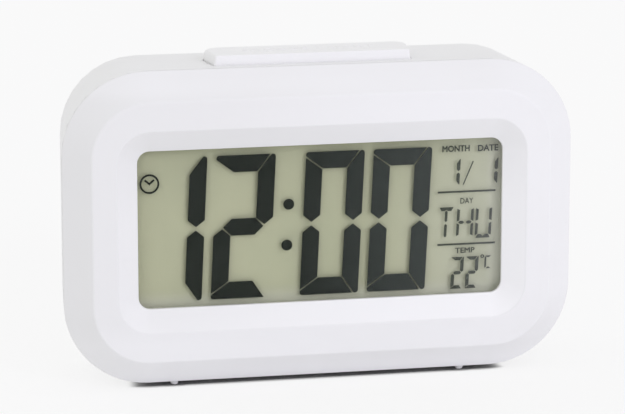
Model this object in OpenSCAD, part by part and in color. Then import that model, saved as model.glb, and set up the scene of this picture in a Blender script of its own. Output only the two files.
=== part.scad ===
// Digital alarm clock with a large display, a snooze bar on top and its keys on the back.
// Millimetres. +Z up, the display faces -Y, +X is the viewer's right.
// The origin is on the surface it stands on, below the middle of the case.

/* [Case] */
// Width at the parting line of the two shells
case_w = 135; // [128:0.5:150]
// Height at the parting line
case_h = 82.7; // [80:0.1:94]
// Depth from the front face to the back
case_d = 36; // [34:0.5:46]
// Corner radius at the parting line
corner_r = 22; // [19:0.5:25]
// How much the rear shell narrows on each side towards the back
side_draft = 2.9; // [1:0.1:4]
// How much the rear shell's top and bottom close in towards the back
top_draft = 0.6; // [0.2:0.1:1.5]
// Radius of the round edge of the back
back_round = 3.5; // [2.5:0.1:5]
// Wall thickness of both shells
wall = 2; // [1.7:0.1:2.3]
// Open seam between the two shells
seam = 0.25; // [0.1:0.05:0.5]

/* [Front bezel] */
// Width of the outer chamfer
chamfer_w = 7; // [5:0.1:8]
// Depth of the outer chamfer
chamfer_d = 6; // [5:0.1:8]
// Straight rim behind the chamfer
rim_d = 0.5; // [0.3:0.1:1.5]
// Width of the display window
window_w = 96.7; // [90:0.1:98]
// Height of the display window
window_h = 41.8; // [38:0.1:43]
// Corner radius of the display window
window_r = 3.2; // [2:0.1:6]
// Width of the slope around the window
slope_w = 5.8; // [4:0.1:6.5]
// Depth of the slope around the window
slope_d = 3.5; // [2.6:0.1:4]
// Thickness of the slope's wall
slope_wall = 1.4; // [1:0.1:1.8]
// Thickness of the flange that the display rests on
lip_t = 0.8; // [0.6:0.1:1.5]

/* [Feet] */
// Height of the moulded feet
foot_h = 1.3; // [0.8:0.1:3]
// Radius of a foot's flat end
foot_tip_r = 0.9; // [0.6:0.1:2]
// Radius of a foot at the case
foot_r = 1.7; // [1.2:0.1:3]
// Distance between left and right feet
foot_span = 76.8; // [60:0.2:84]
// Depth of the front feet behind the front face
foot_front_d = 8.9; // [8.9:0.1:12]
// Distance of the rear feet from the back
foot_back_d = 7; // [5:0.5:10]

/* [Snooze bar] */
// Length of the bar at its rear corners
bar_l = 54.4; // [44:0.2:60]
// Width of the bar from front to back
bar_w = 13; // [10:0.1:14]
// Middle of the bar, to the right of the middle of the case
bar_x = -0.9; // [-2:0.1:2]
// Depth of the bar's front face behind the front face of the case
bar_front_d = 10.7; // [9.7:0.1:13]
// Height of the bar above the case's top
bar_h = 2.6; // [1.5:0.1:4]
// Radius of the bar's round top edges
bar_round = 1.2; // [0.8:0.1:2.2]
// Radius of the bar's rear corners
bar_corner_r = 3.5; // [2:0.1:4]
// Travel of the bar when it is pressed
bar_travel = 0.8; // [0.4:0.1:1]
// Room between the bar and its opening
bar_gap = 0.3; // [0.2:0.05:0.5]

/* [Display] */
// Width of the display glass
glass_w = 104; // [100:0.2:104]
// Height of the display's rear glass
glass_h = 46.6; // [44.4:0.2:47]
// Thickness of each glass
glass_t = 1.1; // [0.7:0.1:1.3]
// Height of the ledge with the contact pads below the rear glass
ledge_h = 3; // [2.6:0.1:3.4]
// Thickness of the polariser and of the reflector film
film_t = 0.2; // [0.1:0.05:0.3]
// Thickness of the figure layer between the glasses
figure_t = 0.1; // [0.05:0.05:0.2]
// Thickness of the light guide
guide_t = 3.2; // [2:0.1:4]
// Room around the glass inside its holder
glass_gap = 0.3; // [0.2:0.05:0.5]

/* [Figures] */
// Height of the large digits
digit_h = 38.2; // [30:0.1:40]
// Width of the large digits
digit_w = 15.6; // [13:0.1:16.5]
// Stroke of the large digits
digit_stroke = 4.5; // [3:0.1:5]
// Gap between the strokes of a digit
digit_gap = 0.45; // [0.2:0.05:0.6]
// Distance from one large digit to the next
digit_pitch = 18; // [17:0.1:18.4]
// Extra distance for the colon
colon_space = 5.6; // [5.2:0.1:6.4]
// Radius of the colon's dots
colon_r = 1.45; // [1:0.05:1.7]
// Lean of the digits to the right, per unit of height
digit_lean = 0.048; // [0:0.002:0.08]

/* [Boards and switches] */
// Thickness of the boards
board_t = 1.6; // [1:0.1:2]
// Width of the main board
board_w = 104; // [98:0.5:106]
// Side of a push switch's body
switch_w = 6; // [5:0.1:6.6]
// Height of a push switch's body
switch_h = 3.5; // [3:0.1:4]
// Diameter of a push switch's plunger
plunger_d = 3.4; // [2.5:0.1:3.8]
// Height of a plunger above its switch
plunger_h = 1.5; // [1.2:0.1:2]

/* [Keys on the back] */
// Width of a key
key_w = 9; // [7:0.2:11]
// Height of a key
key_h = 5; // [4:0.2:6]
// Corner radius of a key
key_r = 1.2; // [0.6:0.1:1.8]
// Distance between the keys
key_pitch = 17; // [16:0.2:18]
// Height of the row of keys above the middle of the face
key_row = 14; // [10:0.5:18]
// Travel of a key
key_travel = 0.6; // [0.3:0.05:0.8]
// Room around a key in its hole
key_gap = 0.25; // [0.15:0.05:0.4]
// Depth of the recess that the keys stand in
recess_d = 1; // [0.6:0.1:1.2]
// Travel of the alarm knob
knob_travel = 4; // [2:0.2:4.4]
// Width of the alarm knob
knob_w = 5; // [4:0.2:5.4]

/* [Battery compartment] */
// Diameter of a cell
cell_d = 10.5; // [10:0.1:11]
// Length of a cell with its nub
cell_l = 44.5; // [43:0.1:46]
// Room around the cells
cell_gap = 0.5; // [0.3:0.05:0.8]
// Length of a contact spring when a cell is in
spring_l = 6; // [4:0.1:7]
// Thickness of the contact plates
contact_t = 0.4; // [0.3:0.05:0.5]
// Wall of the battery compartment
box_wall = 1.6; // [1.2:0.1:2]
// Thickness of the battery door
door_t = 1.8; // [1.4:0.1:1.9]
// Room around the battery door
door_gap = 0.3; // [0.2:0.05:0.4]
// Width of the ledge that the door rests on
door_ledge = 1.5; // [1.2:0.1:2]
// Radius of the pins at the ends of the door's hinge
hinge_pin_r = 0.5; // [0.35:0.05:0.55]
// Length of a hinge pin in the case
hinge_pin_l = 1.2; // [0.8:0.1:1.4]

/* [Screws] */
// Shank diameter of the case screws
screw_d = 2.6; // [2:0.1:3]
// Length of the case screws under the head
screw_l = 12; // [9:0.5:14]
// Distance of the case screws from the sides of the case
screw_side = 10.5; // [10:0.1:11.5]
// Distance of the case screws from the top and bottom of the case
screw_top = 13.3; // [12.5:0.1:14]
// Shank diameter of the board screws
board_screw_d = 2; // [1.6:0.1:2.3]

/* [Sounder] */
// Diameter of the sounder's brass plate
sounder_d = 20; // [16:0.5:21]
// Diameter of one sound hole
sound_hole_d = 1.6; // [1:0.1:2]

/* [Hidden] */
$fn = 64;
hull_fn = 32;
// How far a cut runs past a face, and how far joined shapes of one solid reach into each other
cut = 0.5;
lap = 0.5;
weld = 0.1;
slice_t = 0.01;
face_z = foot_h + case_h / 2;

// Depths behind the front face, from front to back
rim_end = chamfer_d + rim_d;
rear_start = rim_end + seam;
lip_back = slope_d + lip_t;
glass_front = lip_back + film_t;
figure_front = glass_front + glass_t;
rear_glass_front = figure_front + figure_t;
reflector_front = rear_glass_front + glass_t;
guide_front = reflector_front + film_t;
guide_back = guide_front + guide_t;
guide_room = 0.3;
board_front = guide_back + guide_room;
board_back = board_front + board_t;
back_inner = case_d - wall;
back_flat = case_d - back_round;

// Rear shell
back_w = case_w - 2 * side_draft;
back_h = case_h - 2 * top_draft;
back_r = corner_r - (side_draft + top_draft) / 2;

// Tongue of the front shell inside the rear shell
tongue_t = 0.9;
tongue_l = 1.8;
tongue_gap = 0.15;
tongue_root = 1.5;

// Display stack
glass_top = glass_h / 2;
glass_low = glass_top - glass_h - ledge_h;
film_inset = 1.5;
film_low_inset = 0.8;
lamp_room = 1.8;
film_w = glass_w - 2 * film_inset;
film_h = glass_h - 2 * film_low_inset;
guide_w = glass_w - 2 * lamp_room;
guide_h = film_h;
flange_rim = 1;
holder_wall = 1.2;
holder_back = board_front;
holder_front = glass_front;
lamp_l = 3;
lamp_w = 1.2;
lamp_h = 1.6;
lamp_spread = 22;
lamp_gap = 0.1;
strip_inset = 4;
strip_gap = 0.4;

// Board screws and the bosses they hold in
ear_t = 2;
ear_w = 8;
ear_front = holder_back - ear_t;
board_boss_r = 2.6;
board_screw_x = 30;
boss_clear = 0.4;
board_rim = 3;
board_screw_top = glass_top + glass_gap + holder_wall + board_boss_r + ear_t;
board_screw_low = glass_low - glass_gap - holder_wall - board_boss_r - boss_clear;
head_ratio = 0.95;
board_screw_head_r = board_screw_d * head_ratio;
board_screw_head_h = 1.3;
board_screw_l = 6.4;
board_top = board_screw_top + board_rim;
board_low = board_screw_low - board_rim;

// Case screws and their bosses
screw_x = case_w / 2 - screw_side;
screw_y = case_h / 2 - screw_top;
boss_wall = 1.7;
boss_r = screw_d / 2 + boss_wall;
front_boss_start = 3;
front_boss_end = 12;
screw_seat = 19;
screw_head_r = screw_d * head_ratio;
screw_head_h = 1.8;
head_room = 0.35;
rear_boss_wall = 0.9;
rear_boss_r = screw_head_r + head_room + rear_boss_wall;
boss_gap = 0.4;
boss_seat_gap = 0.2;
boss_floor = 1.5;
screw_room = 0.15;
cross_l = 1.2;
cross_w = 0.3;
fit = 0.02;

// Snooze bar
bar_mid_d = bar_front_d + bar_w / 2;
case_top = foot_h + case_h;
bar_top = case_top + bar_h;
bar_flange_t = 1.2;
bar_flange_w = 1.2;
top_inner = case_top - wall - top_draft;
bar_flange_gap = 0.2;
bar_flange_top = top_inner - bar_flange_gap;
bar_flange_low = bar_flange_top - bar_flange_t;
bar_front_round = 0.6;
bar_flare = 1.1;
bar_lean = 0.4;
bar_end = bar_l / 2 - bar_flare;
bar_back_d = bar_front_d + bar_w;
bar_post_r = 2.6;
bar_post_l = 1.6;

// Snooze board, square to the main board
snooze_plunger_top = bar_flange_low - bar_post_l;
snooze_board_top = snooze_plunger_top - plunger_h - switch_h;
snooze_board_w = 26;
snooze_board_rim = 3;
snooze_board_back = bar_mid_d + switch_w / 2 + snooze_board_rim;
snooze_tab_w = 4;
snooze_tab_x = 9;
tab_fit = 0.05;

// Push switches
plunger_in = 1;
plunger_spare = 0.2;
plunger_room = max(key_travel, bar_travel) + plunger_spare;
plunger_gap = 0.06;

// Keys
key_x = [-2 * key_pitch, -key_pitch, key_pitch, 2 * key_pitch];
recess_floor = case_d - recess_d;
recess_rim = 3;
recess_rim_h = 3.5;
pad_rim = 2;
recess_w = 4 * key_pitch + key_w + 2 * recess_rim;
recess_h = key_h + 2 * recess_rim_h;
recess_r = 3;
pad_front = recess_floor - wall;
key_sink = 0.1;
key_top = case_d - key_sink;
key_flange = 1.2;
key_flange_t = 1;
key_flange_gap = 0.3;
key_flange_back = pad_front - key_flange_gap;
key_flange_front = key_flange_back - key_flange_t;
key_stem_r = 1.8;
switch_top = board_back + switch_h;
plunger_top = switch_top + plunger_h;

// Alarm slide switch, at rest at the left end of its travel
knob_h = 4;
knob_rest = -knob_travel / 2;
slide_body_rim = 2.5;
slide_body_w = knob_travel + 2 * slide_body_rim;
slide_body_h = 4.4;
slide_body_t = 3.6;
slide_top = board_back + slide_body_t;
actuator_w = 2;
actuator_l = 3;
actuator_in = 1;
knob_flange_lap = 1;
knob_flange_w = knob_w + 2 * knob_travel + 2 * knob_flange_lap;
knob_flange_h = knob_h + 3 * knob_flange_lap;
knob_groove_pitch = 1.3;
knob_groove_w = 0.6;
knob_groove_d = 0.4;
fork_w = 1.4;
fork_gap = 0.05;
fork_end_gap = 0.3;
slot_gap = 0.1;

// Battery compartment
bump_h = 0.7;
cell_end_gap = 0.4;
box_in_w = cell_l + spring_l + 2 * contact_t + bump_h + cell_end_gap;
box_in_h = 2 * cell_d + 3 * cell_gap;
box_in_d = cell_d + 2 * cell_gap;
door_back = case_d;
door_front = case_d - door_t;
ledge_t = 1.5;
ledge_front = door_front - ledge_t;
box_floor = ledge_front - box_in_d;
box_mid = -17.5;
box_low = box_mid - box_in_h / 2;
box_high = box_mid + box_in_h / 2;
door_w = box_in_w + 2 * door_ledge;
door_low = box_low - door_ledge;
door_high = box_high + door_ledge;
cell_depth = box_floor + cell_gap + cell_d / 2;
cell_y = [box_mid + (cell_d + cell_gap) / 2, box_mid - (cell_d + cell_gap) / 2];
nub_r = 1.9;
nub_l = 0.8;
bump_flare = 0.6;
leg_w = 3;
leg_gap = 0.2;
contact_trim = 1;
door_rim = 1.5;

// Hinge barrel along the door's lower edge, latch tongue and grip grooves
hinge_relief = 0.1;
hinge_r = door_t / 2 - hinge_relief;
hinge_d = case_d - door_t / 2;
hinge_y = door_low + hinge_r;
hinge_fit = 0.03;
hinge_end_gap = 0.1;
grip_n = 4;
grip_w = 14;
grip_t = 0.8;
grip_pitch = 1.8;
grip_d = 0.4;
grip_inset = 4;
grip_top = door_high - grip_inset;
latch_w = 10;
latch_t = 1;
latch_l = 2.6;
latch_gap = 1;
latch_top = box_high - latch_gap;
notch_r = 6;
notch_depth = 1.2;

// Contact springs
wire_r = 0.3;
spring_turns = 4;
spring_r0 = 3.4;
spring_r1 = 1.8;
spring_sides = 6;
spring_steps = 8;

// Sounder, vents and small parts on the main board
sounder_clear = 4;
sounder_x = box_in_w / 2 + box_wall + sounder_d / 2 + sounder_clear;
sounder_y = box_mid;
sounder_t = 0.25;
ceramic_t = 0.2;
ceramic_rim = 3;
ceramic_r = sounder_d / 2 - ceramic_rim;
hole_pitch = 2.3;
seat_l = 2;
seat_wall = 1.2;
sounder_back = back_inner - seat_l;
contact_spring_r = 1.2;
vent_w = 13;
vent_h = 1.6;
vent_pitch = 4;
vent_x = -sounder_x;
chip_at = [2, -6];
chip_r = 7;
chip_rise = 1.6;
crystal_at = [18, -6];
crystal_r = 1;
crystal_l = 6;
capacitor_at = [-20, -2];
capacitor_r = 2.5;
capacitor_h = 7;
bead_r = 1.2;
lead_r = 0.25;
lead_l = 6;
lead_gap = 1.2;

// Face frame: x to the right, y up from the middle of the face, depth counted backwards
module face() {
    translate([0, -case_d / 2, face_z])
        rotate([90, 0, 0])
            children();
}

// Extrudes an outline between two depths
module between(d0, d1) {
    translate([0, 0, -d1])
        linear_extrude(d1 - d0)
            children();
}

module rod(r, d0, d1) {
    translate([0, 0, -d1])
        cylinder(r = r, h = d1 - d0);
}

module block(w, h, d0, d1) {
    translate([-w / 2, -h / 2, -d1])
        cube([w, h, d1 - d0]);
}

module round_rect(w, h, r) {
    square([w - 2 * r, h], center = true);
    square([w, h - 2 * r], center = true);
    for (x = [-1, 1], y = [-1, 1])
        translate([x * (w / 2 - r), y * (h / 2 - r)])
            circle(r);
}

module round_block(w, h, r, d0, d1) {
    between(d0, d1)
        round_rect(w, h, r);
}

// Round-cornered block whose sides grow by a set amount from its front to its back
module taper_block(w, h, r, grow, d0, d1) {
    cx = w / 2 - r;
    cy = h / 2 - r;
    for (x = [-cx, cx], y = [-cy, cy])
        translate([x, y, -d1])
            cylinder(h = d1 - d0, r1 = r + grow, r2 = r);
    rotate([90, 0, 90])
        linear_extrude(2 * cx, center = true)
            taper_section(h, grow, d0, d1);
    rotate([90, 0, 0])
        linear_extrude(2 * cy, center = true)
            taper_section(w, grow, d0, d1);
}

module taper_section(w, grow, d0, d1) {
    polygon([[-w / 2, -d0], [w / 2, -d0], [w / 2 + grow, -d1], [-w / 2 - grow, -d1]]);
}

module at_corners(x, y) {
    for (i = [-1, 1], j = [-1, 1])
        translate([i * x, j * y, 0])
            children();
}

// Size of the chamfered outside of the front shell at a depth, less an inset
function front_w(d, inset) = case_w - 2 * chamfer_w * (1 - min(d, chamfer_d) / chamfer_d) - 2 * inset;
function front_h(d, inset) = front_w(d, inset) - case_w + case_h;
function front_r(d, inset) = corner_r - (case_w - front_w(d, inset)) / 2;

module front_outside() {
    taper_block(front_w(0, 0), front_h(0, 0), front_r(0, 0), chamfer_w, 0, chamfer_d);
    round_block(case_w, case_h, corner_r, chamfer_d, rim_end);
}

module front_inside() {
    rise = chamfer_w * (chamfer_d - wall) / chamfer_d;
    taper_block(front_w(wall, wall), front_h(wall, wall), front_r(wall, wall), rise, wall, chamfer_d);
    round_block(case_w - 2 * wall, case_h - 2 * wall, corner_r - wall, chamfer_d, rim_end + cut);
}

// Slope around the display window, moved outwards by a set amount
module slope(out, d0, d1) {
    start_w = slope_w * (1 - d0 / slope_d) + out;
    fall = slope_w * (d1 - d0) / slope_d;
    taper_block(window_w + 2 * start_w, window_h + 2 * start_w, window_r + start_w, -fall, d0, d1);
}

module display_flange() {
    translate([0, (glass_top + glass_low) / 2, 0])
        round_block(glass_w + 2 * flange_rim, glass_top - glass_low + 2 * flange_rim, window_r,
            slope_d, lip_back);
}

module tongue() {
    outer_w = case_w - 2 * wall - 2 * tongue_gap - 2 * side_draft * tongue_l / back_flat;
    outer_h = case_h - 2 * wall - 2 * tongue_gap - 2 * top_draft * tongue_l / back_flat;
    outer_r = corner_r - wall - tongue_gap;
    difference() {
        round_block(outer_w, outer_h, outer_r, rim_end - tongue_root, rim_end + tongue_l);
        round_block(outer_w - 2 * tongue_t, outer_h - 2 * tongue_t, outer_r - tongue_t,
            rim_end - tongue_root - cut, rim_end + tongue_l + cut);
    }
}

module front_shell() {
    color("white") face() difference() {
        union() {
            difference() {
                front_outside();
                front_inside();
            }
            difference() {
                slope(slope_wall, wall / 2, slope_d);
                slope(0, 0, slope_d);
            }
            display_flange();
            difference() {
                tongue();
                at_corners(screw_x, screw_y)
                    rod(rear_boss_r + boss_gap, rim_end, rim_end + tongue_l + cut);
            }
            at_corners(screw_x, screw_y)
                rod(boss_r, front_boss_start, front_boss_end);
            for (x = [-1, 1], y = [board_screw_low, board_screw_top])
                translate([x * board_screw_x, y, 0])
                    rod(board_boss_r, wall / 2, ear_front);
        }
        slope(0, 0, slope_d);
        translate([0, 0, slope_d])
            slope(0, 0, slope_d / 2);
        round_block(window_w, window_h, window_r, slope_d - weld, lip_back + cut);
        at_corners(screw_x, screw_y)
            rod(screw_d / 2 + fit, front_boss_start + boss_floor, front_boss_end + cut);
        for (x = [-1, 1], y = [board_screw_low, board_screw_top])
            translate([x * board_screw_x, y, 0])
                rod(board_screw_d / 2 + fit, wall, ear_front + cut);
    }
}

// One thin slice of the rear shell's outline
module back_slice(w, h, r, d) {
    translate([0, 0, -d])
        linear_extrude(slice_t)
            round_rect(w, h, r, $fn = hull_fn);
}

module rear_outside() {
    hull() {
        back_slice(case_w, case_h, corner_r, rear_start + slice_t);
        for (a = [0:22.5:90]) {
            inset = back_round * (1 - cos(a));
            depth = back_flat + back_round * sin(a);
            back_slice(back_w - 2 * inset, back_h - 2 * inset, back_r - inset, depth);
        }
    }
}

module rear_inside() {
    hull() {
        back_slice(case_w - 2 * wall, case_h - 2 * wall, corner_r - wall, rear_start - cut);
        back_slice(back_w - 2 * wall, back_h - 2 * wall, back_r - wall, back_flat);
        back_slice(back_w - 2 * back_round, back_h - 2 * back_round, back_r - back_round, back_inner);
    }
}

// Outline of the snooze bar seen from above, in the case's own x and y.
// The ends flare towards the rear corners; inset draws those in, and lean draws the front corners in
module bar_outline(grow, inset, lean) {
    y0 = bar_front_d - case_d / 2;
    y1 = bar_back_d - case_d / 2;
    hull() for (x = [-1, 1]) {
        translate([bar_x + x * (bar_end - lean - bar_front_round), y0 + bar_front_round])
            circle(bar_front_round + grow, $fn = hull_fn);
        translate([bar_x + x * (bar_end + bar_flare - inset - bar_corner_r), y1 - bar_corner_r - inset])
            circle(bar_corner_r + grow, $fn = hull_fn);
    }
}

module bar_slab(grow, inset, lean, z0, z1) {
    translate([0, 0, z0])
        linear_extrude(z1 - z0)
            bar_outline(grow, inset, lean);
}

module snooze_bar() {
    color("white") {
        hull() {
            bar_slab(0, 0, 0, bar_flange_low + weld, case_top);
            for (a = [0, 45, 90]) {
                top = bar_top - bar_round * (1 - sin(a));
                lean = bar_lean * max(0, top - case_top) / bar_h;
                bar_slab(0, bar_round * (1 - cos(a)), lean, bar_flange_low + weld, top);
            }
        }
        bar_slab(bar_flange_w, 0, 0, bar_flange_low, bar_flange_top);
        translate([0, bar_mid_d - case_d / 2, snooze_plunger_top])
            cylinder(r = bar_post_r, h = bar_post_l + lap);
    }
}

module foot(x, d) {
    translate([x, d - case_d / 2, 0])
        cylinder(h = foot_h + top_draft, r1 = foot_tip_r, r2 = foot_r);
    translate([x, d - case_d / 2, foot_h])
        cylinder(h = wall, r = foot_r);
}

module key_pad() {
    translate([0, key_row, 0])
        block(recess_w + 2 * pad_rim, recess_h + 2 * pad_rim, pad_front, back_inner + lap);
}

module key_openings() {
    translate([0, key_row, 0]) {
        round_block(recess_w, recess_h, recess_r, recess_floor, case_d + cut);
        for (x = key_x)
            translate([x, 0, 0])
                round_block(key_w + 2 * key_gap, key_h + 2 * key_gap, key_r + key_gap,
                    pad_front - cut, case_d);
        block(knob_w + knob_travel + 2 * key_gap, knob_h + 2 * key_gap, pad_front - cut, case_d);
    }
}

module battery_walls() {
    translate([0, box_mid, 0])
        block(box_in_w + 2 * box_wall, box_in_h + 2 * box_wall, box_floor - box_wall, back_inner + lap);
    translate([0, (door_low + door_high) / 2, 0])
        block(door_w + 2 * door_rim, door_high - door_low + 2 * door_rim, ledge_front, back_inner + lap);
}

// Round bar along the axis that the battery door swings on
module hinge_rod(r, l) {
    translate([0, hinge_y, -hinge_d])
        rotate([0, 90, 0])
            cylinder(r = r, h = l, center = true);
}

module battery_space() {
    translate([0, box_mid, 0])
        block(box_in_w, box_in_h, box_floor, case_d + cut);
    translate([0, (door_low + door_high) / 2, 0])
        block(door_w + 2 * door_gap, door_high - door_low + 2 * door_gap, door_front, case_d + cut);
    hinge_rod(hinge_pin_r + hinge_fit, door_w + 2 * (door_gap + hinge_pin_l + hinge_end_gap));
    for (y = cell_y)
        translate([-box_in_w / 2 + contact_t / 2, y, 0])
            block(contact_t + leg_gap, leg_w + 2 * leg_gap, box_floor - box_wall - cut, box_floor + cut);
    translate([0, door_high + door_gap, -case_d - notch_r + notch_depth])
        sphere(notch_r);
}

module sound_holes() {
    rod(sound_hole_d / 2, sounder_back - cut, case_d + cut);
    for (a = [0:60:300], k = [1, 2])
        rotate(a + 30 * (k - 1))
            translate([hole_pitch * sound_hole_d * k, 0, 0])
                rod(sound_hole_d / 2, sounder_back - cut, case_d + cut);
}

module rear_shell() {
    color("whitesmoke") difference() {
        union() {
            face() {
                difference() {
                    rear_outside();
                    rear_inside();
                }
                key_pad();
                battery_walls();
                at_corners(screw_x, screw_y)
                    rod(rear_boss_r, front_boss_end + boss_seat_gap, case_d - wall / 2);
                translate([sounder_x, sounder_y, 0])
                    difference() {
                        rod(sounder_d / 2 + seat_wall / 2, sounder_back, back_inner + lap);
                        rod(sounder_d / 2 - seat_wall, sounder_back - cut, back_inner);
                    }
            }
            for (x = [-foot_span / 2, foot_span / 2], d = [foot_front_d, case_d - foot_back_d])
                foot(x, d);
        }
        face() {
            key_openings();
            battery_space();
            at_corners(screw_x, screw_y) {
                rod(screw_d / 2 + screw_room, front_boss_end, case_d);
                rod(screw_head_r + head_room, screw_seat, case_d + cut);
            }
            translate([sounder_x, sounder_y, 0])
                sound_holes();
            for (i = [-1:1])
                translate([vent_x, box_mid + i * vent_pitch, 0])
                    round_block(vent_w, vent_h, vent_h / 2 - slice_t, back_inner - cut, case_d + cut);
        }
        bar_slab(bar_gap, 0, 0, top_inner - cut, bar_top);
    }
}

module battery_door() {
    color("white") face() {
        difference() {
            translate([0, (hinge_y + door_high) / 2, 0])
                block(door_w, door_high - hinge_y, door_front, door_back);
            for (i = [0:grip_n - 1])
                translate([0, grip_top - i * grip_pitch, 0])
                    block(grip_w, grip_t, door_back - grip_d, door_back + cut);
        }
        hinge_rod(hinge_r, door_w);
        hinge_rod(hinge_pin_r, door_w + 2 * (door_gap + hinge_pin_l));
        translate([-latch_w / 2, latch_top - latch_t, -door_front])
            cube([latch_w, latch_t, latch_l]);
    }
}

module screw(r, l, head_r, head_h, seat) {
    rod(r, seat - l, seat + weld);
    difference() {
        rod(head_r, seat, seat + head_h);
        block(head_r * cross_l, head_r * cross_w, seat + head_h / 2, seat + head_h + cut);
        block(head_r * cross_w, head_r * cross_l, seat + head_h / 2, seat + head_h + cut);
    }
}

module case_screws() {
    color("silver") face() at_corners(screw_x, screw_y)
        screw(screw_d / 2, screw_l, screw_head_r, screw_head_h, screw_seat);
}

module board_screws() {
    color("silver") face()
        for (x = [-1, 1], y = [board_screw_low, board_screw_top])
            translate([x * board_screw_x, y, 0])
                screw(board_screw_d / 2, board_screw_l, board_screw_head_r, board_screw_head_h, board_back);
}

module lcd_polariser() {
    color("gainsboro") face()
        block(film_w, film_h, lip_back, glass_front);
}

module lcd_front_glass() {
    color("lightcyan", 0.4) face()
        translate([0, (glass_top + glass_low) / 2, 0])
            block(glass_w, glass_top - glass_low, glass_front, figure_front);
}

module lcd_rear_glass() {
    color("lightcyan", 0.4) face()
        block(glass_w, glass_h, rear_glass_front, reflector_front);
}

module lcd_reflector() {
    color("darkkhaki") face()
        block(film_w, film_h, reflector_front, guide_front);
}

module light_guide() {
    color("azure", 0.6) face()
        block(guide_w, guide_h, guide_front, guide_back);
}

// Strokes of a digit: a top, b upper right, c lower right, d bottom, e lower left, f upper left, g middle.
// w and h are half sizes, s the stroke, g the gap; the top stroke holds the left corner, b the right one.
mitre = 0.29;
arc_in = 1 - cos(45);
tip_round = 0.6;
shoulder = 0.4;
function leaning(points, lean) = [for (p = points) [p[0] + lean * p[1], p[1]]];
function tip(s, g) = tip_round * (mitre * s - g / 2);
function corner(w, h, r) = [[w - r, h], [w - arc_in * r, h - arc_in * r], [w, h - r]];
function flip_x(points) = [for (p = points) [-p[0], p[1]]];
function flip_y(points) = [for (p = points) [p[0], -p[1]]];
function stroke_a(w, h, s, g) = concat(
    [[-w, h - mitre * s + g / 2]],
    flip_x([for (i = [2, 1, 0]) corner(w, h, tip(s, g))[i]]),
    [[w - mitre * s - g / 2, h], [w - s - g / 2, h - s], [-w + s + g / 2, h - s]]);
function stroke_end(w, s, g) = [[w, shoulder * s + g], [w - s / 2, g], [w - s, shoulder * s + g]];
function stroke_b(w, h, s, g) = concat(
    [[w - mitre * s + g / 2, h]],
    corner(w, h, tip(s, g)),
    stroke_end(w, s, g),
    [[w - s, h - s - g / 2]]);
function stroke_f(w, h, s, g) = flip_x(concat(
    [[w, h - mitre * s - g / 2]],
    stroke_end(w, s, g),
    [[w - s, h - s - g / 2]]));
function stroke_g(w, s, g) = [[-w + s / 2 + g / 2, 0], [-w + s + g / 2, s / 2], [w - s - g / 2, s / 2],
    [w - s / 2 - g / 2, 0], [w - s - g / 2, -s / 2], [-w + s + g / 2, -s / 2]];
function stroke(name, w, h, s, g) =
    name == "a" ? stroke_a(w, h, s, g) :
    name == "b" ? stroke_b(w, h, s, g) :
    name == "c" ? flip_y(stroke_b(w, h, s, g)) :
    name == "d" ? flip_y(stroke_a(w, h, s, g)) :
    name == "e" ? flip_y(stroke_f(w, h, s, g)) :
    name == "f" ? stroke_f(w, h, s, g) :
    stroke_g(w, s, g);

module digit(strokes, w, h, s, g, lean) {
    for (name = strokes)
        polygon(leaning(stroke(name, w / 2, h / 2, s, g), lean));
}

one = ["b", "c"];
two = ["a", "b", "g", "e", "d"];
zero = ["a", "b", "c", "d", "e", "f"];
time_shift = -8.6;
time_row = -0.55;
colon_rise = digit_h / 7;
small_stroke = 0.9;
small_gap = 0.2;

module large_digits() {
    half = (digit_pitch + colon_space) / 2;
    places = [-half - digit_pitch, -half, half, half + digit_pitch];
    shown = [one, two, zero, zero];
    for (i = [0:3])
        translate([time_shift + places[i], time_row])
            digit(shown[i], digit_w, digit_h, digit_stroke, digit_gap, digit_lean);
    for (y = [-colon_rise, colon_rise])
        translate([time_shift + digit_lean * y, time_row + y])
            circle(colon_r);
}

// Date and temperature digits in the right column, and the rules between them
column_x = 39.3;
column_w = 15.6;
rule_t = 0.5;
date_row = 11.6;
date_h = 6.8;
temp_row = -15.7;
temp_h = 8.6;
temp_w = 3.3;
rule_rows = [6.25, -7.9];
date_places = [-3.5, 6.7];
temp_places = [-2.4, 1.6];
slash_at = [0.35, -0.4];
slash_lean = 23;
slash_t = 0.32;

module small_figures() {
    for (x = date_places)
        translate([column_x + x, date_row])
            digit(one, temp_w, date_h, small_stroke, small_gap, digit_lean);
    for (x = temp_places)
        translate([column_x + x, temp_row])
            digit(two, temp_w, temp_h, small_stroke, small_gap, digit_lean);
    for (y = rule_rows)
        translate([column_x, y])
            square([column_w, rule_t], center = true);
    translate([column_x + slash_at[0], date_row + slash_at[1]])
        rotate(-slash_lean)
            square([slash_t, date_h], center = true);
}

// Small clock sign at the upper left of the display
sign_x = -44.9;
sign_y = 11.85;
sign_r = 2.6;
sign_line = 0.52;
hand_l = 1.9;
hand_turns = [-48, 49];

module clock_sign() {
    translate([sign_x, sign_y]) {
        difference() {
            circle(sign_r);
            circle(sign_r - sign_line);
        }
        for (a = hand_turns)
            rotate(a)
                translate([-sign_line / 2, -sign_line / 2])
                    square([sign_line, hand_l]);
    }
}

module lcd_figures() {
    color("darkslategray") face() between(figure_front, rear_glass_front) {
        large_digits();
        small_figures();
        clock_sign();
    }
}

module backlight_lamps() {
    color("lightyellow") face()
        for (y = [-1, 1])
            translate([guide_w / 2 + lamp_w / 2 + lamp_gap, y * lamp_spread / 2, 0])
                block(lamp_w, lamp_l, board_front - lamp_h, board_front);
}

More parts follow.
